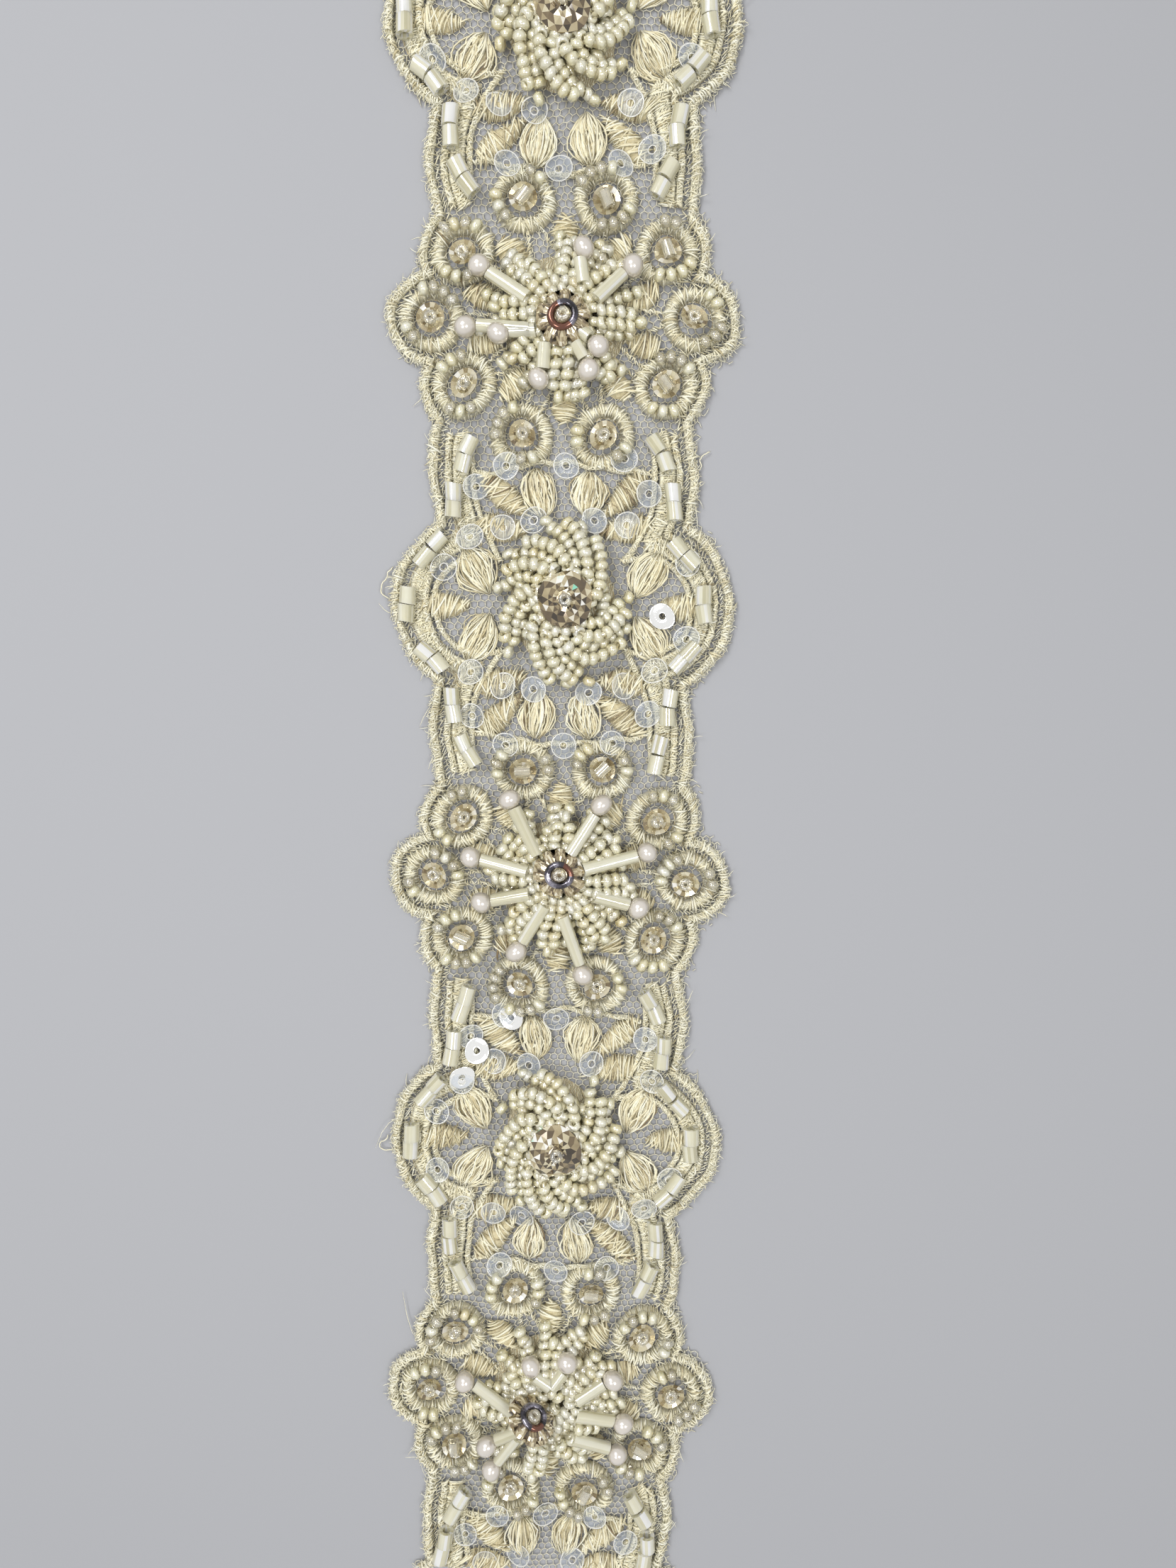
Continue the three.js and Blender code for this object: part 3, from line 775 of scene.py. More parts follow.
def swag(side, chance):
    """A thin cord from one side to the other, just above or below a star."""
    x = np.arange(-SWAG_REACH, SWAG_REACH, STITCH_STEP)
    y = side * (SWAG_OUT + 0.8 * np.cos(np.pi * x / SWAG_REACH) + 0.25 * np.sin(1.3 * x))
    points = np.stack([x, y], axis=-1)
    line = points, -left_of(headings(points))
    return [cord_core(line, 0.4, 0.7), overcast(line, 0.42, 0.8, chance, thread=0.14),
            stray_loops(line, 0.5, 0.8, chance, 0.5, 0.9, thread=0.08)]


for number, y in star_y.items():
    chance = np.random.default_rng(40 + number)
    parts = []
    for leaf in star_leaves:
        stitched = loose_leaf(leaf, chance) if leaf["lengthwise"] else satin_leaf(leaf, chance)
        parts += [leaf_padding(leaf), stitched]
    for side in (1, -1):
        parts += swag(side, chance)
    parts = [moved(part, y) for part in parts]
    for side in (1, -1):
        line = edge_line(SCROLL_INSET, *stretch_at(y, SCROLL_REACH), STITCH_STEP, side)
        parts += [cord_core(line, 0.42, 0.7), overcast(line, 0.46, 0.8, chance, thread=0.14),
                  stray_loops(line, 0.6, 0.8, chance, 0.6, 1.0, thread=0.08)]
    parts = [within_ends(part) for part in parts]
    piece(f"leaf_stitches_{number}", parts, [cotton], [f"leaf_wreath_{number}"])

# ---------------------------------------------------------------- bugle borders
# Inside the edge cord of each star runs a second wrapped cord, and then a band of satin stitch that holds
# pairs of bugle beads: short glass tubes, cut square, of milky satin glass with white streaks, partly its
# own and partly painted highlight.
BUGLE_RADIUS = 1.25
BUGLE_WALL = 0.55
BUGLE_LENGTH = 2.7
BUGLE_GAP = 0.12               # between the two beads of a pair
BUGLE_HEIGHT = 2.05
BUGLE_ROWS = [(21.5, 0, 90), (18.5, 7.6, 132), (16.6, 15.3, 93), (14.7, 22.5, 116)]
BUGLE_ROWS += [(x, -along, -angle) for x, along, angle in BUGLE_ROWS[1:]]
LEFT_OUTWARD = {1: 1.6, 2: 2.2, 3: 1.4, 4: 1.6}
LEFT_CORD_INWARD = 2.3
LEFT_BAND_OUTWARD = 0.8
BORDER_CORD_INSET = 2.85
BAND_INSET = 4.6


def bulge(along):
    """From 1 at the middle of a star's lobe to 0 past its ends."""
    return np.clip(1.5 - np.abs(along) / 9.5, 0, 1)


def taken_as_model():
    """The points, in millimetres, and faces of the selected object, which goes."""
    bpy.ops.object.mode_set(mode="OBJECT")
    model = bpy.context.object
    mesh = model.data
    points = np.array([vertex.co for vertex in mesh.vertices])
    faces = np.array([[*polygon.vertices, -1][:4] for polygon in mesh.polygons])
    bpy.data.objects.remove(model)
    bpy.data.meshes.remove(mesh)
    return points, faces


def copies(model, middles, axes, tones, spins=0.0, stretch=1.0):
    """Copies of a model, each with its own middle, the way that its z axis points and a spin about it."""
    points, faces = model
    middles, axes = np.atleast_2d(middles), np.atleast_2d(axes).astype(float)
    count = len(middles)
    z = np.broadcast_to(unit(axes), (count, 3))
    helper = np.where(np.abs(z[:, 2:]) > 0.9, [[1.0, 0.0, 0.0]], [[0.0, 0.0, 1.0]])
    x = unit(np.cross(helper, z))
    y = np.cross(z, x)
    spins, stretch = (np.broadcast_to(value, (count,))[:, None] for value in (spins, stretch))
    turned = [x * np.cos(spins) + y * np.sin(spins), y * np.cos(spins) - x * np.sin(spins), z * stretch]
    placed = middles[:, None] + points @ np.stack(turned, axis=1)
    all_faces = np.where(faces[None] < 0, -1, faces[None] + len(points) * np.arange(count)[:, None, None])
    tones = np.asarray(tones, float)
    if tones.ndim < 2:
        tones = np.repeat(np.broadcast_to(tones, (count,))[:, None], len(faces), axis=1)
    return placed.reshape(-1, 3), all_faces.reshape(-1, 4), tones.ravel()


def select_faces(model, chosen):
    """Goes to edit mode with only those faces selected whose normals are chosen."""
    bpy.ops.object.mode_set(mode="EDIT")
    bpy.ops.mesh.select_mode(type="FACE")
    bpy.ops.mesh.select_all(action="DESELECT")
    bpy.ops.object.mode_set(mode="OBJECT")
    for polygon in model.data.polygons:
        polygon.select = chosen(polygon.normal)
    bpy.ops.object.mode_set(mode="EDIT")


def at_an_end(normal):
    return abs(normal.z) > 0.9


bpy.ops.object.select_all(action="DESELECT")
bpy.ops.mesh.primitive_cylinder_add(vertices=16, radius=BUGLE_RADIUS, depth=1, end_fill_type="NGON")
tube = bpy.context.object
select_faces(tube, at_an_end)
bpy.ops.mesh.inset(thickness=BUGLE_WALL, use_individual=True)
bpy.ops.mesh.bridge_edge_loops()
select_faces(tube, at_an_end)
bpy.ops.mesh.split()
bugle_model = taken_as_model()

satin_glass = Finish("satin_glass")
streak_and_glint_shades = [(0.0, colour(208, 202, 168)), (0.4, colour(232, 227, 198)), (0.8, colour(246, 243, 222)),
           (0.97, colour(255, 255, 252))]
streak_and_glint = satin_glass.tone() + satin_glass.noise(500) * 0.2 - 0.1
satin_glass.surface(Base_Color=satin_glass.ramp(streak_and_glint, streak_and_glint_shades), Roughness=0.12, Coat_Weight=1.0,
                    Coat_IOR=1.7, IOR=1.5, Transmission_Weight=0.22, Subsurface_Weight=0.5,
                    Subsurface_Radius=(0.0008, 0.0008, 0.0008), Subsurface_Scale=1.0)


def streak_and_glint_tones(model, count, chance):
    """Streaks: each facet round a tube has a shade of its own, and a few facets are white, as painted
    highlight.
    """
    tones = chance.normal(0.5, 0.3, (count, len(model[1])))
    # A few facets are made white: painted highlight.
    bright = chance.random(tones.shape) < 0.15
    return np.where(bright, 1.0, tones)


for number, y in star_y.items():
    for side, name in SIDES:
        chance = np.random.default_rng(60 + 10 * number + side)
        ends = stretch_at(y, BORDER_REACH)
        cord = edge_line(BORDER_CORD_INSET, *ends, STITCH_STEP, side)
        band = edge_line(BAND_INSET, *ends, STITCH_STEP * 0.9, side)
        gap = edge_line(CORD_GAP_INSET, *ends, STITCH_STEP * 1.6, side)
        if side < 0:
            cord = cord[0] - cord[1] * LEFT_CORD_INWARD * bulge(cord[0][:, 1:] - y), cord[1]
            band = band[0] + band[1] * LEFT_BAND_OUTWARD * bulge(band[0][:, 1:] - y), band[1]
        parts = [cord_core(cord, 0.5, 0.9), overcast(cord, 0.6, 1.05, chance),
                 stray_loops(cord, 0.6, 1.05, chance, 0.5, 0.8),
                 cord_core(band, 1.2, 0.45), overcast(band, 1.35, 0.55, chance, slant=0.2),
                 stray_loops(band, 1.3, 0.6, chance, 0.8, 1.1, thread=0.12),
                 overcast(gap, 0.45, 0.15, chance, slant=1.0, thread=0.08)]
        stood_for = [f"bugle_border_{number}_{name}"]
        parts = [within_ends(part) for part in parts]
        piece(f"border_stitches_{number}_{name}", parts, [cotton], stood_for)
        middles, axes = [], []
        for x, along, angle in BUGLE_ROWS:
            if abs(y + along) > LENGTH / 2 - BUGLE_LENGTH:
                continue
            outward = LEFT_OUTWARD[number] * bulge(along) if side < 0 else 0
            for half in (-0.5, 0.5):
                ahead = facing(math.radians(angle) + chance.normal(0, 0.07)) * [side, 1]
                spot = np.array([side * (x + outward), y + along * (1 + 0.06 * outward)])
                spot = spot + ahead * half * (BUGLE_LENGTH + BUGLE_GAP)
                middles.append([*(spot + chance.normal(0, 0.12, 2)), BUGLE_HEIGHT + chance.normal(0, 0.08)])
                axes.append([*ahead, chance.normal(0, 0.05)])
        tones = streak_and_glint_tones(bugle_model, len(middles), chance)
        part = copies(bugle_model, middles, axes, tones, chance.uniform(0, 6, len(middles)), BUGLE_LENGTH)
        piece(f"bugles_{number}_{name}", [part], [satin_glass], stood_for)

# ---------------------------------------------------------------- seed-bead swirls
# Strings of round glass seed beads, sewn down as loops that swirl out from each star's stone: every arm
# goes out and comes back beside itself, and leans on the next one.
SEED_LENGTH = 1.42

bpy.ops.object.select_all(action="DESELECT")
bpy.ops.mesh.primitive_torus_add(major_segments=9, minor_segments=5, major_radius=0.66, minor_radius=0.44)
bpy.ops.object.mode_set(mode="EDIT")
bpy.ops.mesh.select_all(action="SELECT")
bpy.ops.transform.resize(value=(1, 1, SEED_LENGTH / 0.86))
seed_model = taken_as_model()

cream_glass = Finish("cream_glass")
depths = [(0.0, colour(242, 224, 172)), (0.5, colour(255, 246, 206)), (1.0, colour(255, 253, 234))]
cloud = cream_glass.tone() + cream_glass.noise(1200) * 0.3 - 0.15
cream_glass.surface(Base_Color=cream_glass.ramp(cloud, depths), Roughness=0.04, Metallic=0.12,
                    Coat_Weight=1.0, Coat_IOR=2.5, IOR=1.5, Transmission_Weight=0.3,
                    Subsurface_Weight=0.6, Subsurface_Radius=(0.001, 0.001, 0.001), Subsurface_Scale=1.0)


def strung(route, chance, start=0.5):
    """Where the beads of a string lie: middles and axes along a route of points."""
    steps = start * SEED_LENGTH, SEED_LENGTH * 1.03
    middles = spaced(route, *steps)
    ahead = spaced(route, *steps, further=0.2) - middles + 1e-3
    return middles + chance.normal(0, 0.07, middles.shape), ahead + chance.normal(0, 0.03, ahead.shape)


def single(place, axis):
    """A string of one bead."""
    return np.array([place]), np.array([axis])


def hoop(half_across, half_along, height):
    """A round or oval route at one height."""
    return at_height(facing(np.linspace(0, 2 * np.pi, 80)) * [half_across, half_along], height)


def seed_beads(strings, chance):
    """Strings of beads, each on a thick thread that fills the grooves between its beads."""
    middles, axes = (np.concatenate(lot) for lot in zip(*strings))
    count = len(middles)
    beads = copies(seed_model, middles, axes, chance.normal(0.5, 0.16, count), chance.uniform(0, 6, count))
    cores = [strands(middles[None], 0.8, 0.2, flat=0.9) for middles, _ in strings if len(middles) > 2]
    return joined([beads, *cores])


SWIRL_ARMS = 9
SWIRL_HEIGHT = 4.3
ARM_FALL = 2.4                 # how far an arm comes down on its way out
SWIRL_START = 0.40             # where an arm starts, as a share of the swirl's size
LANES = [                      # the two sides of an arm: one lies low, and one leans over its neighbour
    {"aside": 0.95, "lift": 0.0, "points": 30, "start": 0.5},
    {"aside": -0.85, "lift": 1.0, "points": 27, "start": 0.1},
]

for number in range(1, REPEATS + 1):
    chance = np.random.default_rng(100 + number)
    strings = []
    offset = chance.uniform(0, 40)
    for arm in range(SWIRL_ARMS):
        start = offset + arm * 360 / SWIRL_ARMS + chance.normal(0, 3)
        sweep = chance.uniform(38, 62)
        reach = chance.uniform(0.92, 1.04)
        share = np.linspace(0, 1, 30)
        out = (SWIRL_START + (reach - SWIRL_START) * share)[:, None] * [SWIRL_ACROSS, SWIRL_ALONG]
        middle = out * facing(np.radians(start + sweep * share ** 1.3))
        ahead = headings(middle)
        across = left_of(ahead)
        for lane in LANES:
            height = SWIRL_HEIGHT - ARM_FALL * share ** 1.4 + lane["lift"] * np.sin(np.pi * share) ** 0.5
            route = at_height(middle + lane["aside"] * across * (1 - 0.4 * share[:, None] ** 6), height)
            strings.append(strung(route[:lane["points"]], chance, lane["start"]))
        strings.append(single([*(middle[-1] + 0.7 * ahead[-1]), 1.9], [*across[-1], 0.1]))
    for route in (hoop(3.7, 3.9, SWIRL_HEIGHT), hoop(6.3, 7.9, 2.6)):
        strings.append(strung(route, chance))
    piece(f"seed_swirl_{number}", [moved(seed_beads(strings, chance), star_y[number])], [cream_glass],
          [f"bead_rosette_{number}"])

# ---------------------------------------------------------------- ring wreaths
# Ten padded rings of satin stitch round each flower, open in the middle, with a few seed beads sewn along
# their outer sides. Wrapped bars and small padded leaves fill the net between the rings and the flower.
RING_COUNT = len(flower_rings)
RING_SEED_OUT = 3.9
RING_SEED_HEIGHT = 2.4
FILLERS_OUT = 12               # how far the small leaves between the rings lie from the middle
BETWEEN_RINGS = [16, 51, 90, 129, 164, 196, 231, 270, 309, 344]


def stitched_ring(middle, chance):
    """A padded ring of satin stitch."""
    between = (RING_INNER + RING_OUTER) / 2
    core = strands(at_height(facing(np.linspace(0, 2 * np.pi, 25)) * between + middle, 0.85)[None], 1.0, 0.6,
                   flat=0.8, taper=1)
    out = facing(np.linspace(0, 2 * np.pi, int(2 * np.pi * between / 0.37), endpoint=False))
    line = out * between + middle, out
    return [core, overcast(line, 1.15, CORD_RISE, chance, slant=0.15),
            stray_loops(line, 1.0, 1.25, chance, 0.5, 0.8, tone=0.7, thread=0.09)]


clear_glass = Finish("clear_glass")
clear_shades = [(0.0, colour(228, 220, 192)), (1.0, colour(253, 251, 240))]
clear_glass.surface(Base_Color=clear_glass.ramp(clear_glass.tone(), clear_shades), Roughness=0.04, IOR=1.5,
                    Coat_Weight=1.0, Coat_IOR=2.0, Transmission_Weight=0.8)


def bar(start, end, chance):
    """A thin wrapped thread that ties two forms together across the net."""
    length = np.linalg.norm(end - start)
    share = np.linspace(0, 1, max(3, int(length / STITCH_STEP)))[:, None]
    sway = chance.normal(0, 0.35) * np.sin(np.pi * share)
    across = -left_of(end - start) / length
    line = start + (end - start) * share + across * sway, np.broadcast_to(across, (len(share), 2))
    return [overcast(line, 0.32, 0.45, chance, slant=0.5, thread=0.1),
            stray_loops(line, 0.8, 0.3, chance, 0.6, 1.2, thread=0.07)]


for number, y in flower_y.items():
    chance = np.random.default_rng(140 + number)
    parts, strings = [], []
    for middle in np.array(flower_rings):
        parts += stitched_ring(middle, chance)
        angle = math.atan2(middle[1], middle[0])
        outward = angle + chance.normal(0, 0.5)
        for flank in (-1, 1):
            first = outward + flank * chance.normal(1.3, 0.25)
            for step in range(chance.integers(2, 5)):
                out = facing(first + flank * (step - 1) * 0.42)
                spot = [*(middle + RING_SEED_OUT * out), RING_SEED_HEIGHT]
                strings.append(single(spot, [*left_of(out), 0.0]))
        for aside in (-0.35, 0.3):
            start = (MOUND - 1.5) * facing(angle + aside * chance.normal(0.8, 0.2))
            reach = middle - start
            reach *= 1 - (RING_OUTER - 0.6) / np.linalg.norm(reach)
            parts += bar(start, start + reach, chance)
    for angle in BETWEEN_RINGS:
        x, along = FILLERS_OUT * facing(math.radians(angle))
        leaf = {"x": x, "y": along, "length": 6.2, "width": 4.6, "angle": angle}
        parts += [leaf_padding(leaf), satin_leaf(leaf, chance)]
    parts = [moved(part, y) for part in parts]
    piece(f"ring_stitches_{number}", parts, [cotton], [f"ring_wreath_{number}"])
    chance.shuffle(strings)
    half = len(strings) // 2
    seeds = [moved(seed_beads(kind, chance), y) for kind in (strings[:half], strings[half:])]
    lots = [len(kind[1]) for kind in seeds]
    piece(f"ring_seeds_{number}", seeds, [cream_glass, clear_glass], lots=lots)

# ---------------------------------------------------------------- bead flowers
# Over each wreath sits a flower of beads: eight arms, each one long bugle bead with a pearl at its end,
# short loops of seed beads between them, and a mound of seed beads under the stone. The top of the third
# flower has worked loose and slipped.
LOOSE = {"number": 3, "slip": (-0.5, -2.4)}
ARMS = 8
ARM_START = 4.2, 5.6           # how far from the middle an arm's bead begins
ARM_HEIGHT = 4.8
SHORTEST_BUGLE = 2.4
LOOP_TIPS = 9.2, 11.6
SPRAYS = 22                    # strings of seed beads that run outward under the arms
SPRAY_START = 5.0
SPRAY_TIPS = 10.4, 12.9
PEARL_RADIUS = 1.62
PEARL_HEIGHT = 3.9
PEARLS = {
    1: [(10.2, 6.8), (2.8, 9.2), (-12.4, 6.9), (-14.4, -2.1), (-9.7, -2.9), (-3.8, -9.3), (3.4, -8.3),
        (5.0, -5.1)],
    2: [(13.6, 4.7), (6.3, 11.8), (-7.9, 12.6), (-13.5, 3.7), (-12.1, -3.3), (-6.4, -10.9), (4.0, -14.6),
        (12.0, -3.9)],
    3: [(10.2, 3.8), (3.0, 6.8), (-2.9, 6.5), (-13.8, 2.7), (-9.8, -7.6), (-8.7, -12.0), (11.4, -8.9),
        (11.9, -3.6)],
}

bpy.ops.object.select_all(action="DESELECT")
bpy.ops.mesh.primitive_uv_sphere_add(segments=20, ring_count=12, radius=PEARL_RADIUS)
points, faces = taken_as_model()
pearl_model = points, faces[np.lexsort(faces.T)]    # a new sphere's faces come in any order
slim_model = bugle_model[0] * [0.82, 0.82, 1], bugle_model[1]

nacre = Finish("nacre")
lustre = [(0.3, colour(200, 191, 180)), (0.8, colour(221, 213, 202))]
nacre.surface(Base_Color=nacre.ramp(nacre.noise(700) * 0.3 + 0.35, lustre), Roughness=0.22,
              Metallic=0.2, Coat_Weight=1.0, Coat_Roughness=0.2, Coat_IOR=2.6)

for number, y in flower_y.items():
    chance = np.random.default_rng(180 + number)
    middle = np.array([0, y], dtype=float)
    hoops = [(3.2, 3.9), (4.5, 4.0), (5.8, 2.9)]
    if number == LOOSE["number"]:
        middle += LOOSE["slip"]
        hoops += [(1.5, 3.9), (7.2, 2.6)]
    centre = bowed(middle) + shift
    strings, bugle_middles, bugle_axes, directions = [], [], [], []
    for arm in range(ARMS):
        node = f"pearl_{number}_{arm + 1}"
        x, along = centre_of(node)[:2] - centre
        directions.append(math.atan2(along, x))
        place = np.array([0, y]) + PEARLS[number][arm]
        reach = np.linalg.norm(place - middle)
        out = (place - middle) / reach
        height = PEARL_HEIGHT + 0.3 * max(0, 12.5 - reach)
        ball = copies(pearl_model, [*place, height], [0.1, 0.2, 1], 0.5)
        piece(f"pearl_bead_{number}_{arm + 1}", [ball], [nacre], [node])
        outer = reach - PEARL_RADIUS - 0.1
        inner = min(chance.uniform(*ARM_START), outer - SHORTEST_BUGLE)
        sideways = chance.normal(0, 0.9) * left_of(out)
        first = np.array([*(middle + out * inner + sideways), ARM_HEIGHT])
        last = np.array([*(middle + out * outer), height - 0.2])
        bugle_middles.append((first + last) / 2)
        bugle_axes.append(last - first)
    for here, after in zip(directions, directions[1:] + directions[:1]):
        ahead = facing(here + ((after - here) % (2 * math.pi)) / 2)
        aside = left_of(ahead)
        tip = chance.uniform(*LOOP_TIPS)
        share = np.linspace(0, 1, 12)[:, None]
        for lane in (-0.95, 0.95):
            flat = middle + ahead * (4.9 + (tip - 5.4) * share) + aside * lane
            route = np.concatenate([flat, 4.2 + 0.4 * np.sin(np.pi * share) - 1.2 * share], axis=-1)
            strings.append(strung(route, chance))
        strings.append(single([*(middle + ahead * tip), 3.0], [*aside, 0.0]))
    mound = [0, y, 0]
    for spray in range(SPRAYS):
        heading = spray * 2 * math.pi / SPRAYS + chance.normal(0, 0.1)
        share = np.linspace(0, 1, 12)
        curl = heading + chance.normal(0, 0.25) * share
        out = SPRAY_START + (chance.uniform(*SPRAY_TIPS) - SPRAY_START) * share
        strings.append(strung(at_height(out[:, None] * facing(curl), 2.9 - 0.7 * share) + mound, chance))
    for radius, height in hoops:
        strings.append(strung(hoop(radius, radius, height) + mound, chance))
    seeds = seed_beads(strings, chance)
    piece(f"flower_seeds_{number}", [seeds], [cream_glass], [f"bead_flower_{number}"])
    tones = streak_and_glint_tones(slim_model, ARMS, chance) * 0.6 + 0.1
    lengths = np.linalg.norm(bugle_axes, axis=1)
    part = copies(slim_model, bugle_middles, bugle_axes, tones, chance.uniform(0, 6, ARMS), lengths)
    piece(f"flower_bugles_{number}", [part], [satin_glass])

# ---------------------------------------------------------------- sequins
# Clear flat sequins, thin discs with a hole and a raised rim, are scattered along the scrolls and over
# the leaves, each held by a stitch through its hole. Their rims and the edges of their holes are whiter and
# less clear, a painted highlight, and a few are made white and metallic, a painted glint.
SEQUIN_RADIUS = 2.0
SEQUIN_HEIGHT = 1.95
SEQUIN_TILT = 0.16
GLINTING_SEQUINS = {2: [(14.3, -1.4)], 3: [(-14.2, 10.3), (-12.5, 14.6), (-7.0, 20.2)]}
SEQUINS = [(18.6, 5.7), (14.4, 10.3), (13.4, 17.0), (9.8, 12.4), (8.2, 20.8), (4.6, 13.0)]



def pressed(sides, radius, steps, thickness):
    """A thin disc pressed into rings, with a hole; each step is how far inward and how far up it goes."""
    bpy.ops.object.select_all(action="DESELECT")
    bpy.ops.mesh.primitive_circle_add(vertices=sides, radius=radius, fill_type="NGON")
    bpy.ops.object.mode_set(mode="EDIT")
    bpy.ops.mesh.select_mode(type="FACE")
    bpy.ops.mesh.select_all(action="SELECT")
    for inward, upward in steps:
        bpy.ops.mesh.inset(thickness=inward, depth=upward)
    bpy.ops.mesh.delete(type="FACE")
    bpy.ops.object.mode_set(mode="OBJECT")
    bpy.context.object.modifiers.new("thickness", "SOLIDIFY").thickness = thickness
    bpy.ops.object.modifier_apply(modifier="thickness")
    return taken_as_model()


sequin_model = pressed(18, SEQUIN_RADIUS, [(0.16, -0.05), (1.16, -0.16), (0.14, 0.06)], 0.07)
sequin_spread = np.hypot(*sequin_model[0][:, :2].T)[sequin_model[1]].mean(axis=1)
# Faces at the rim and round the hole are made whiter and less clear than the rest: painted highlight.
rim_and_hole_highlight = (sequin_spread > SEQUIN_RADIUS - 0.2) | (sequin_spread < 0.72)

clear_film = Finish("clear_film")
film = clear_film.tone()
film_shades = [(0.0, colour(190, 205, 225)), (0.35, colour(246, 246, 240)), (0.9, colour(250, 250, 248))]
clear_film.surface(Base_Color=clear_film.ramp(film, film_shades),
                   Alpha=clear_film.ramp(film, [(0.0, grey(0.06)), (0.5, grey(0.6)), (0.9, grey(0.95))]),
                   Metallic=clear_film.ramp(film, [(0.8, grey(0)), (0.95, grey(0.9))]),
                   Roughness=0.06, Coat_Weight=0.3)


def nearly_upright(count, scatter, chance):
    """Axes that lean a little, each its own way."""
    return at_height(chance.normal(0, scatter, (count, 2)), 1)


for number, y in star_y.items():
    chance = np.random.default_rng(220 + number)
    quarters = [(flip_x * x, flip_y * along) for x, along in SEQUINS for flip_x, flip_y in FLIPS]
    places = [place for place in quarters if chance.random() < 0.75] + [(0, 21.1), (0, -21.1)]
    glinting = GLINTING_SEQUINS.get(number, [])
    bright = np.arange(len(places) + len(glinting)) >= len(places)
    places = np.array(places + glinting) + chance.normal(0, 0.45, (len(bright), 2)) + [0, y]
    places = at_height(places, SEQUIN_HEIGHT + chance.uniform(-0.3, 0.15, len(bright)))
    kept = np.abs(places[:, 1]) < LENGTH / 2 - SEQUIN_RADIUS
    count = kept.sum()
    tilts = nearly_upright(count, SEQUIN_TILT, chance)
    # The chosen discs are made near white and metallic: a painted glint.
    body = np.where(bright[kept], 0.97, chance.uniform(0.0, 0.12, count))[:, None]
    tones = np.where(rim_and_hole_highlight[None], np.maximum(body, 0.5), body)
    discs = copies(sequin_model, places[kept], tilts, tones, chance.uniform(0, 6, count))
    piece(f"sequins_{number}", [discs], [clear_film])

# In each ring of a flower lies a cup sequin of gilt film, fluted like a small bowl. In its middle sits a
# clear seed bead, or a short bit of tube that lies on its side.
CUP_RADIUS = 2.35
CUP_HEIGHT = 1.75
CUP_TILT = 0.15
cup_model = pressed(16, CUP_RADIUS, [(0.75, -0.28), (0.7, -0.32), (0.45, -0.02)], 0.09)
cup_model = cup_model[0] * [0.88, 0.88, 1], cup_model[1]

gilt_film = Finish("gilt_film")
gilt = gilt_film.tone()
gilt_shades = [(0.0, colour(112, 90, 50)), (0.3, colour(188, 168, 116)), (0.6, colour(230, 218, 176)),
               (1.0, colour(255, 253, 246))]
gilt_film.surface(Base_Color=gilt_film.ramp(gilt, gilt_shades),
                  Alpha=gilt_film.ramp(gilt, [(0.0, grey(0.7)), (0.45, grey(0.4)), (1.0, grey(0.9))]),
                  Metallic=0.35, Roughness=0.1, Coat_Weight=1.0)

bit_model = bugle_model[0] * [0.72, 0.72, 1], bugle_model[1]

for number, y in flower_y.items():
    chance = np.random.default_rng(240 + number)
    middles = at_height(np.array(flower_rings) + [0, y], CUP_HEIGHT)
    middles += chance.normal(0, 0.12, (RING_COUNT, 3))
    tilts = nearly_upright(RING_COUNT, CUP_TILT, chance)
    tones = np.clip(chance.normal(0.5, 0.26, (RING_COUNT, len(cup_model[1]))), 0, 1)
    cups = copies(cup_model, middles, tilts, tones, chance.uniform(0, 6, RING_COUNT))
    piece(f"ring_cups_{number}", [cups], [gilt_film], smooth=False)
    cut = chance.random(RING_COUNT) < 0.4
    held = middles + [0, 0, 0.15]
    upright = tilts + chance.normal(0, 0.25, (RING_COUNT, 3))
    seeds = copies(seed_model, held[~cut], upright[~cut], 0.6)
    lying = chance.normal(0, 1, (RING_COUNT, 3)) * [1, 1, 0.05]
    tones = streak_and_glint_tones(bit_model, cut.sum(), chance)
    bits = copies(bit_model, held[cut] + [0, 0, 0.3], lying[cut], tones, stretch=2.3)
    piece(f"ring_stoppers_{number}", [seeds, bits], [clear_glass])

# ---------------------------------------------------------------- crystals
# Each motif's stone is smoke-brown glass, foiled behind, and a clear glass bead on top holds it down. A
# star's stone is cut in small facets. A flower's is a ring of creased petals round a dark metal rim, and
# the third one stands askew. SEWN_ASIDE is how far some were sewn from where they belong.
STONE_RADIUS = 4.1
STONE_SUNK = 1.1
GIRDLE = 0.2                   # half the height of a stone's upright edge
PETALS = 10


def on_top(normal):
    return normal.z > 0.9


def stone_blank(sides, insets, uneven=0.0):
    """A round blank whose top steps inward and up ring by ring, each turned by so many half sides."""
    bpy.ops.object.select_all(action="DESELECT")
    bpy.ops.mesh.primitive_cylinder_add(vertices=sides, radius=STONE_RADIUS, depth=2 * GIRDLE,
                                        location=(0, 0, GIRDLE))
    blank = bpy.context.object
    select_faces(blank, on_top)
    for inward, upward, turn in insets:
        bpy.ops.mesh.inset(thickness=inward, depth=upward)
        bpy.ops.transform.rotate(value=turn * math.pi / sides, orient_axis="Z", center_override=(0, 0, 0))
    bpy.ops.mesh.select_all(action="SELECT")
    bpy.ops.mesh.quads_convert_to_tris()
    bpy.ops.transform.vertex_random(offset=uneven, seed=4)
    bpy.ops.object.mode_set(mode="OBJECT")
    return blank


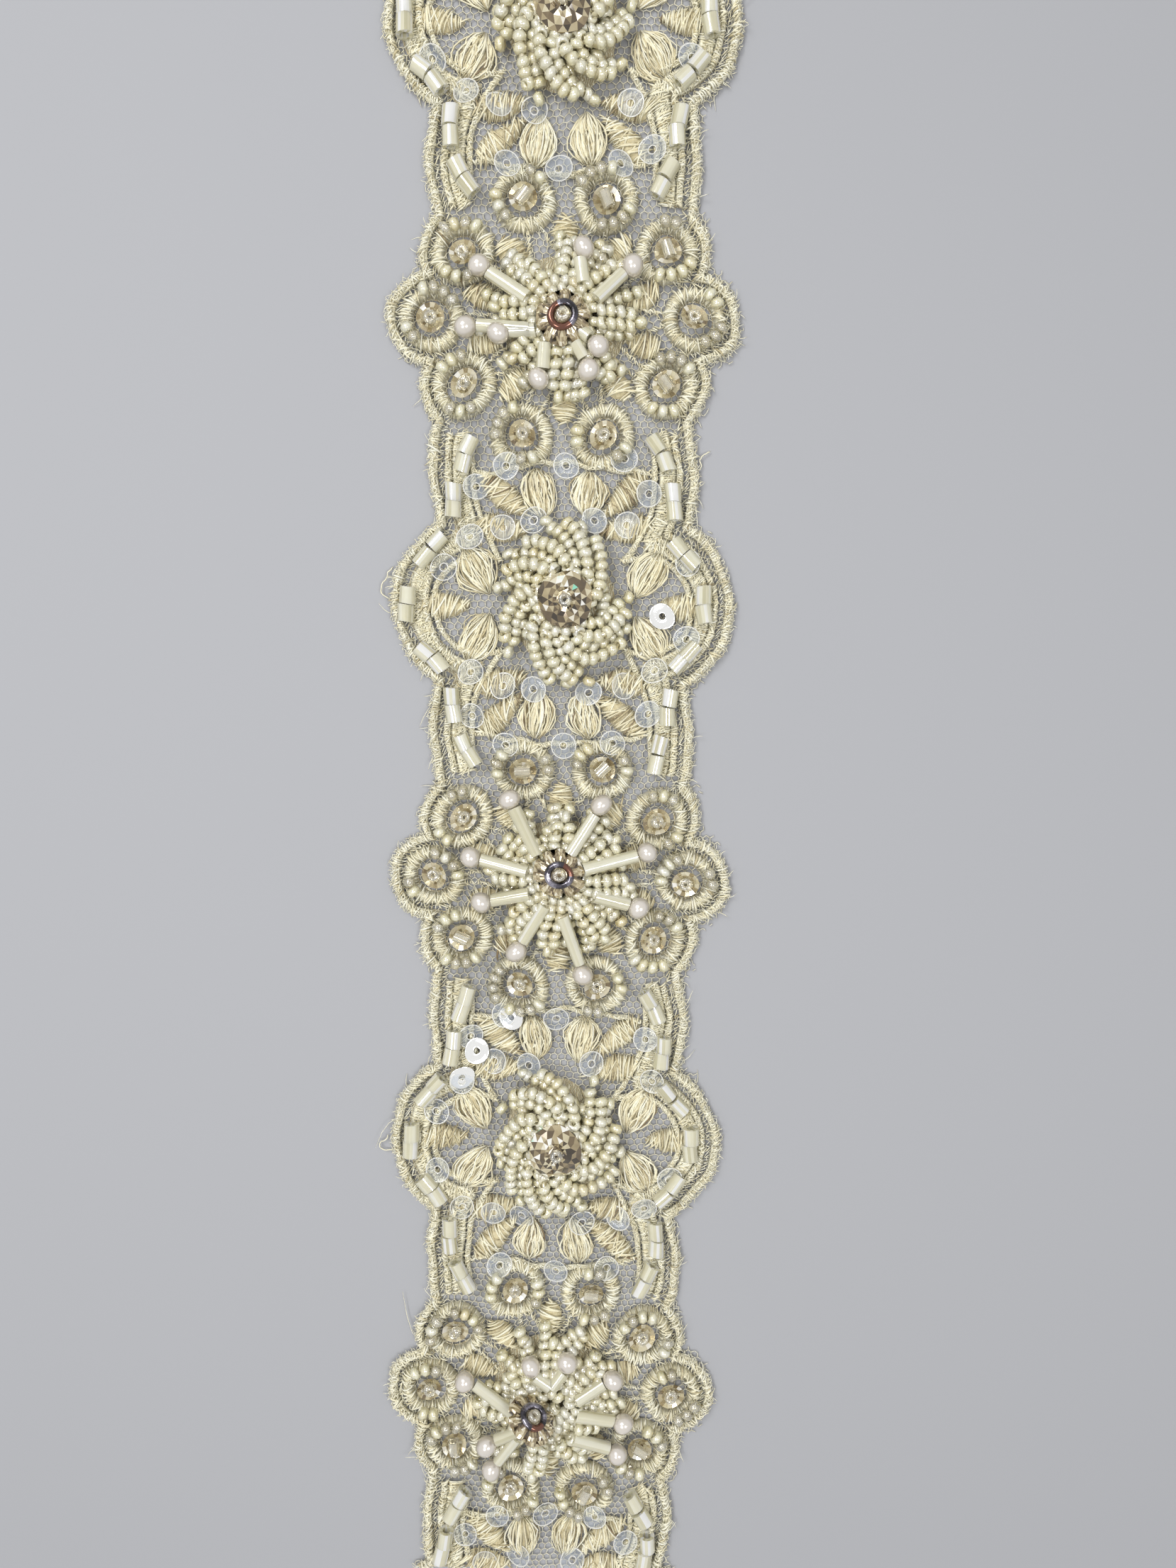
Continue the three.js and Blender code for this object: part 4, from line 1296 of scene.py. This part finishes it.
stone_blank(18, [(0.7, 0.6, 1), (0.8, 0.5, 1), (0.8, 0.35, 1), (0.6, -0.1, 1)], uneven=0.2)
cut_model = taken_as_model()
petals = stone_blank(6 * PETALS, [(0.5, 0.42, 0), (0.6, 0.3, 0), (0.9, 0.2, 0)])
for vertex in petals.data.vertices:
    angle = math.atan2(vertex.co.y, vertex.co.x)
    fold = abs(math.sin(PETALS * angle / 2))
    outward = max(0, (math.hypot(vertex.co.x, vertex.co.y) - 2) / (STONE_RADIUS - 2))
    shrink = 0.97 - 0.22 * outward * (1 - fold ** 0.4)
    crease = 0.1 * outward * math.cos(3 * PETALS * angle)
    vertex.co = (vertex.co.x * shrink, vertex.co.y * shrink, vertex.co.z + crease)
petal_model = taken_as_model()

bpy.ops.object.select_all(action="DESELECT")
bpy.ops.mesh.primitive_torus_add(major_radius=1.7, minor_radius=0.55, major_segments=28, minor_segments=10)
rim_model = taken_as_model()

# The stones' shades run from near black through smoke brown to white and a mint flash: the smoke brown is
# partly their own colour, the dark facets are painted shade and the white and mint ones painted glints.
smoke_glass_with_painted_light = Finish("smoke_glass_with_painted_light")
smoke_and_painted_light = smoke_glass_with_painted_light.tone() + 0.15 * (smoke_glass_with_painted_light.noise(700) - 0.5)
smoke_and_painted_light_shades = [(0.0, colour(58, 48, 34)), (0.25, colour(122, 104, 76)), (0.5, colour(184, 168, 130)),
                (0.72, colour(226, 216, 184)), (0.88, colour(255, 253, 246)), (0.95, colour(255, 253, 246)),
                (1.0, colour(150, 226, 196))]
smoke_glass_with_painted_light.surface(Base_Color=smoke_glass_with_painted_light.ramp(smoke_and_painted_light, smoke_and_painted_light_shades), Metallic=0.5, Roughness=0.08,
                    Coat_Weight=1.0)

# The rims' shades, dark to light grey and then red-brown, are painted shine and a painted red reflection.
gunmetal = Finish("gunmetal")
rim_shine_and_reflection = [(0.0, colour(26, 24, 28)), (0.45, colour(78, 74, 84)), (0.8, colour(152, 148, 160)),
           (0.9, colour(116, 74, 56)), (1.0, colour(96, 56, 42))]
gunmetal.surface(Base_Color=gunmetal.ramp(gunmetal.tone(), rim_shine_and_reflection), Metallic=0.9, Roughness=0.16,
                 Coat_Weight=0.8)

SEWN_ASIDE = {"crystal_flower_1": (0, -1.0), "crystal_star_2": (0.5, 0.8), "crystal_flower_2": (0, 1.7),
              "crystal_flower_3": (-1.1, 3.2)}
LIT_FROM = 2.2                 # the side of the dark rims that shines, in radians
LEAN = math.radians(60)
LEAN_TURN = math.radians(158)


def stone_stand(node):
    """The foot of a stone on the straight trim and its axis, from where its solid lies on the bend."""
    place = centre_of(node)
    x, y = place[:2] - shift
    straight_x = math.hypot(x + BOW_RADIUS, y) - BOW_RADIUS
    straight_y = BOW_RADIUS * math.atan2(y, x + BOW_RADIUS)
    lean = LEAN if node == f"crystal_flower_{LOOSE['number']}" else 0
    axis = np.array([*(-left_of(facing(LEAN_TURN)) * math.sin(lean)), math.cos(lean)])
    middle = np.array([straight_x, straight_y, place[2]]) + [*SEWN_ASIDE.get(node, (0, 0)), 0]
    return middle - axis * STONE_SUNK, axis


def turns_of(model, corners=3):
    """Which way each face of a model lies from its axis."""
    middles = model[0][model[1][:, :corners]].mean(axis=1)
    return np.arctan2(middles[:, 1], middles[:, 0])


cut_turn = turns_of(cut_model)
for number in range(1, REPEATS + 1):
    chance = np.random.default_rng(260 + number)
    node = f"crystal_star_{number}"
    foot, axis = stone_stand(node)
    # Facets lighter on one side of the stone, many of them near black or white, and one white or mint:
    # painted reflections and glints.
    lit = 0.12 * np.sin(cut_turn + chance.uniform(3.5, 5.5))
    painted_facet_tones = chance.choice([0.05, 0.25, 0.45, 0.65, 0.9], len(lit), p=[0.27, 0.25, 0.24, 0.16, 0.08])
    tones = np.clip(painted_facet_tones + lit, 0, 0.94)
    tones[chance.integers(len(lit) // 3, len(lit) // 2)] = 1.0
    stone = copies(cut_model, foot, axis, tones[None], 0.3)
    piece(f"cut_stone_{number}", [stone], [smoke_glass_with_painted_light], [node], smooth=False)
    bead = copies(seed_model, foot + axis * 2.1 + [0.1, -0.1, 0], axis, 0.6, stretch=1.2)
    piece(f"star_stopper_{number}", [bead], [clear_glass])

petal_turn = PETALS * turns_of(petal_model) / 2
# The petals are shaded darker where they meet and along their creases: painted shade.
crease_shade = 0.62 - 0.45 * np.abs(np.cos(petal_turn)) ** 3 - 0.3 * np.abs(np.cos(3 * petal_turn)) ** 6
lit = np.cos(turns_of(rim_model, corners=4) - LIT_FROM)
for number in flower_y:
    chance = np.random.default_rng(280 + number)
    node = f"crystal_flower_{number}"
    foot, axis = stone_stand(node)
    tones = np.clip(crease_shade + chance.normal(0, 0.14, len(crease_shade)), 0, 0.9)
    stone = copies(petal_model, foot, axis, tones[None], 0.2)
    piece(f"petal_stone_{number}", [stone], [smoke_glass_with_painted_light], [node], smooth=False)
    # Lighter and darker bands round the rim, set by the way it faces the light, are painted shine; the
    # red-brown stretch, on the side away from the light for the first flower and facing it for the others,
    # is a painted reflection.
    tones = np.clip(0.4 + 0.3 * np.sin(5 * lit) + chance.normal(0, 0.1, len(lit)), 0, 0.8)
    tones[lit < 0.1 if number == 1 else lit > 0.86] = 0.95
    rim = copies(rim_model, foot + axis * 1.5, axis, tones[None])
    piece(f"dark_rim_{number}", [rim], [gunmetal], [node])
    bead = copies(seed_model, foot + axis * 1.75, axis, 0.6, stretch=1.15)
    piece(f"flower_stopper_{number}", [bead], [clear_glass])

# ---------------------------------------------------------------- loose threads
# A few ends of the edge's cotton thread have worked loose. Each still hangs on by its root and lies beside
# the trim in a small loop.
LOOSE_ENDS = [(2, -1, 0.5, 4.2), (1, -1, 13.5, 5.0), (3, -1, -2.0, 3.5), (2, 1, 20.0, 2.6)]

chance = np.random.default_rng(300)
ends = []
for number, side, along, length in LOOSE_ENDS:
    y = star_y[number] + along
    root = edge_line(0.3, y - 2, y + 2, 0.5, side)[0]
    heading = np.cumsum(chance.normal(0, 0.45, 20)) + (math.pi if side < 0 else 0)
    walk = root[len(root) // 2] + np.cumsum(facing(heading) * length / 12, axis=0)
    ends.append(at_height(walk, 0.5) + np.array([0, 0, 0.4]) * np.sin(np.linspace(0, 3, 20))[:, None])
piece("loose_threads", [strands(np.array(ends), 0.12, 0.7)], [cotton])
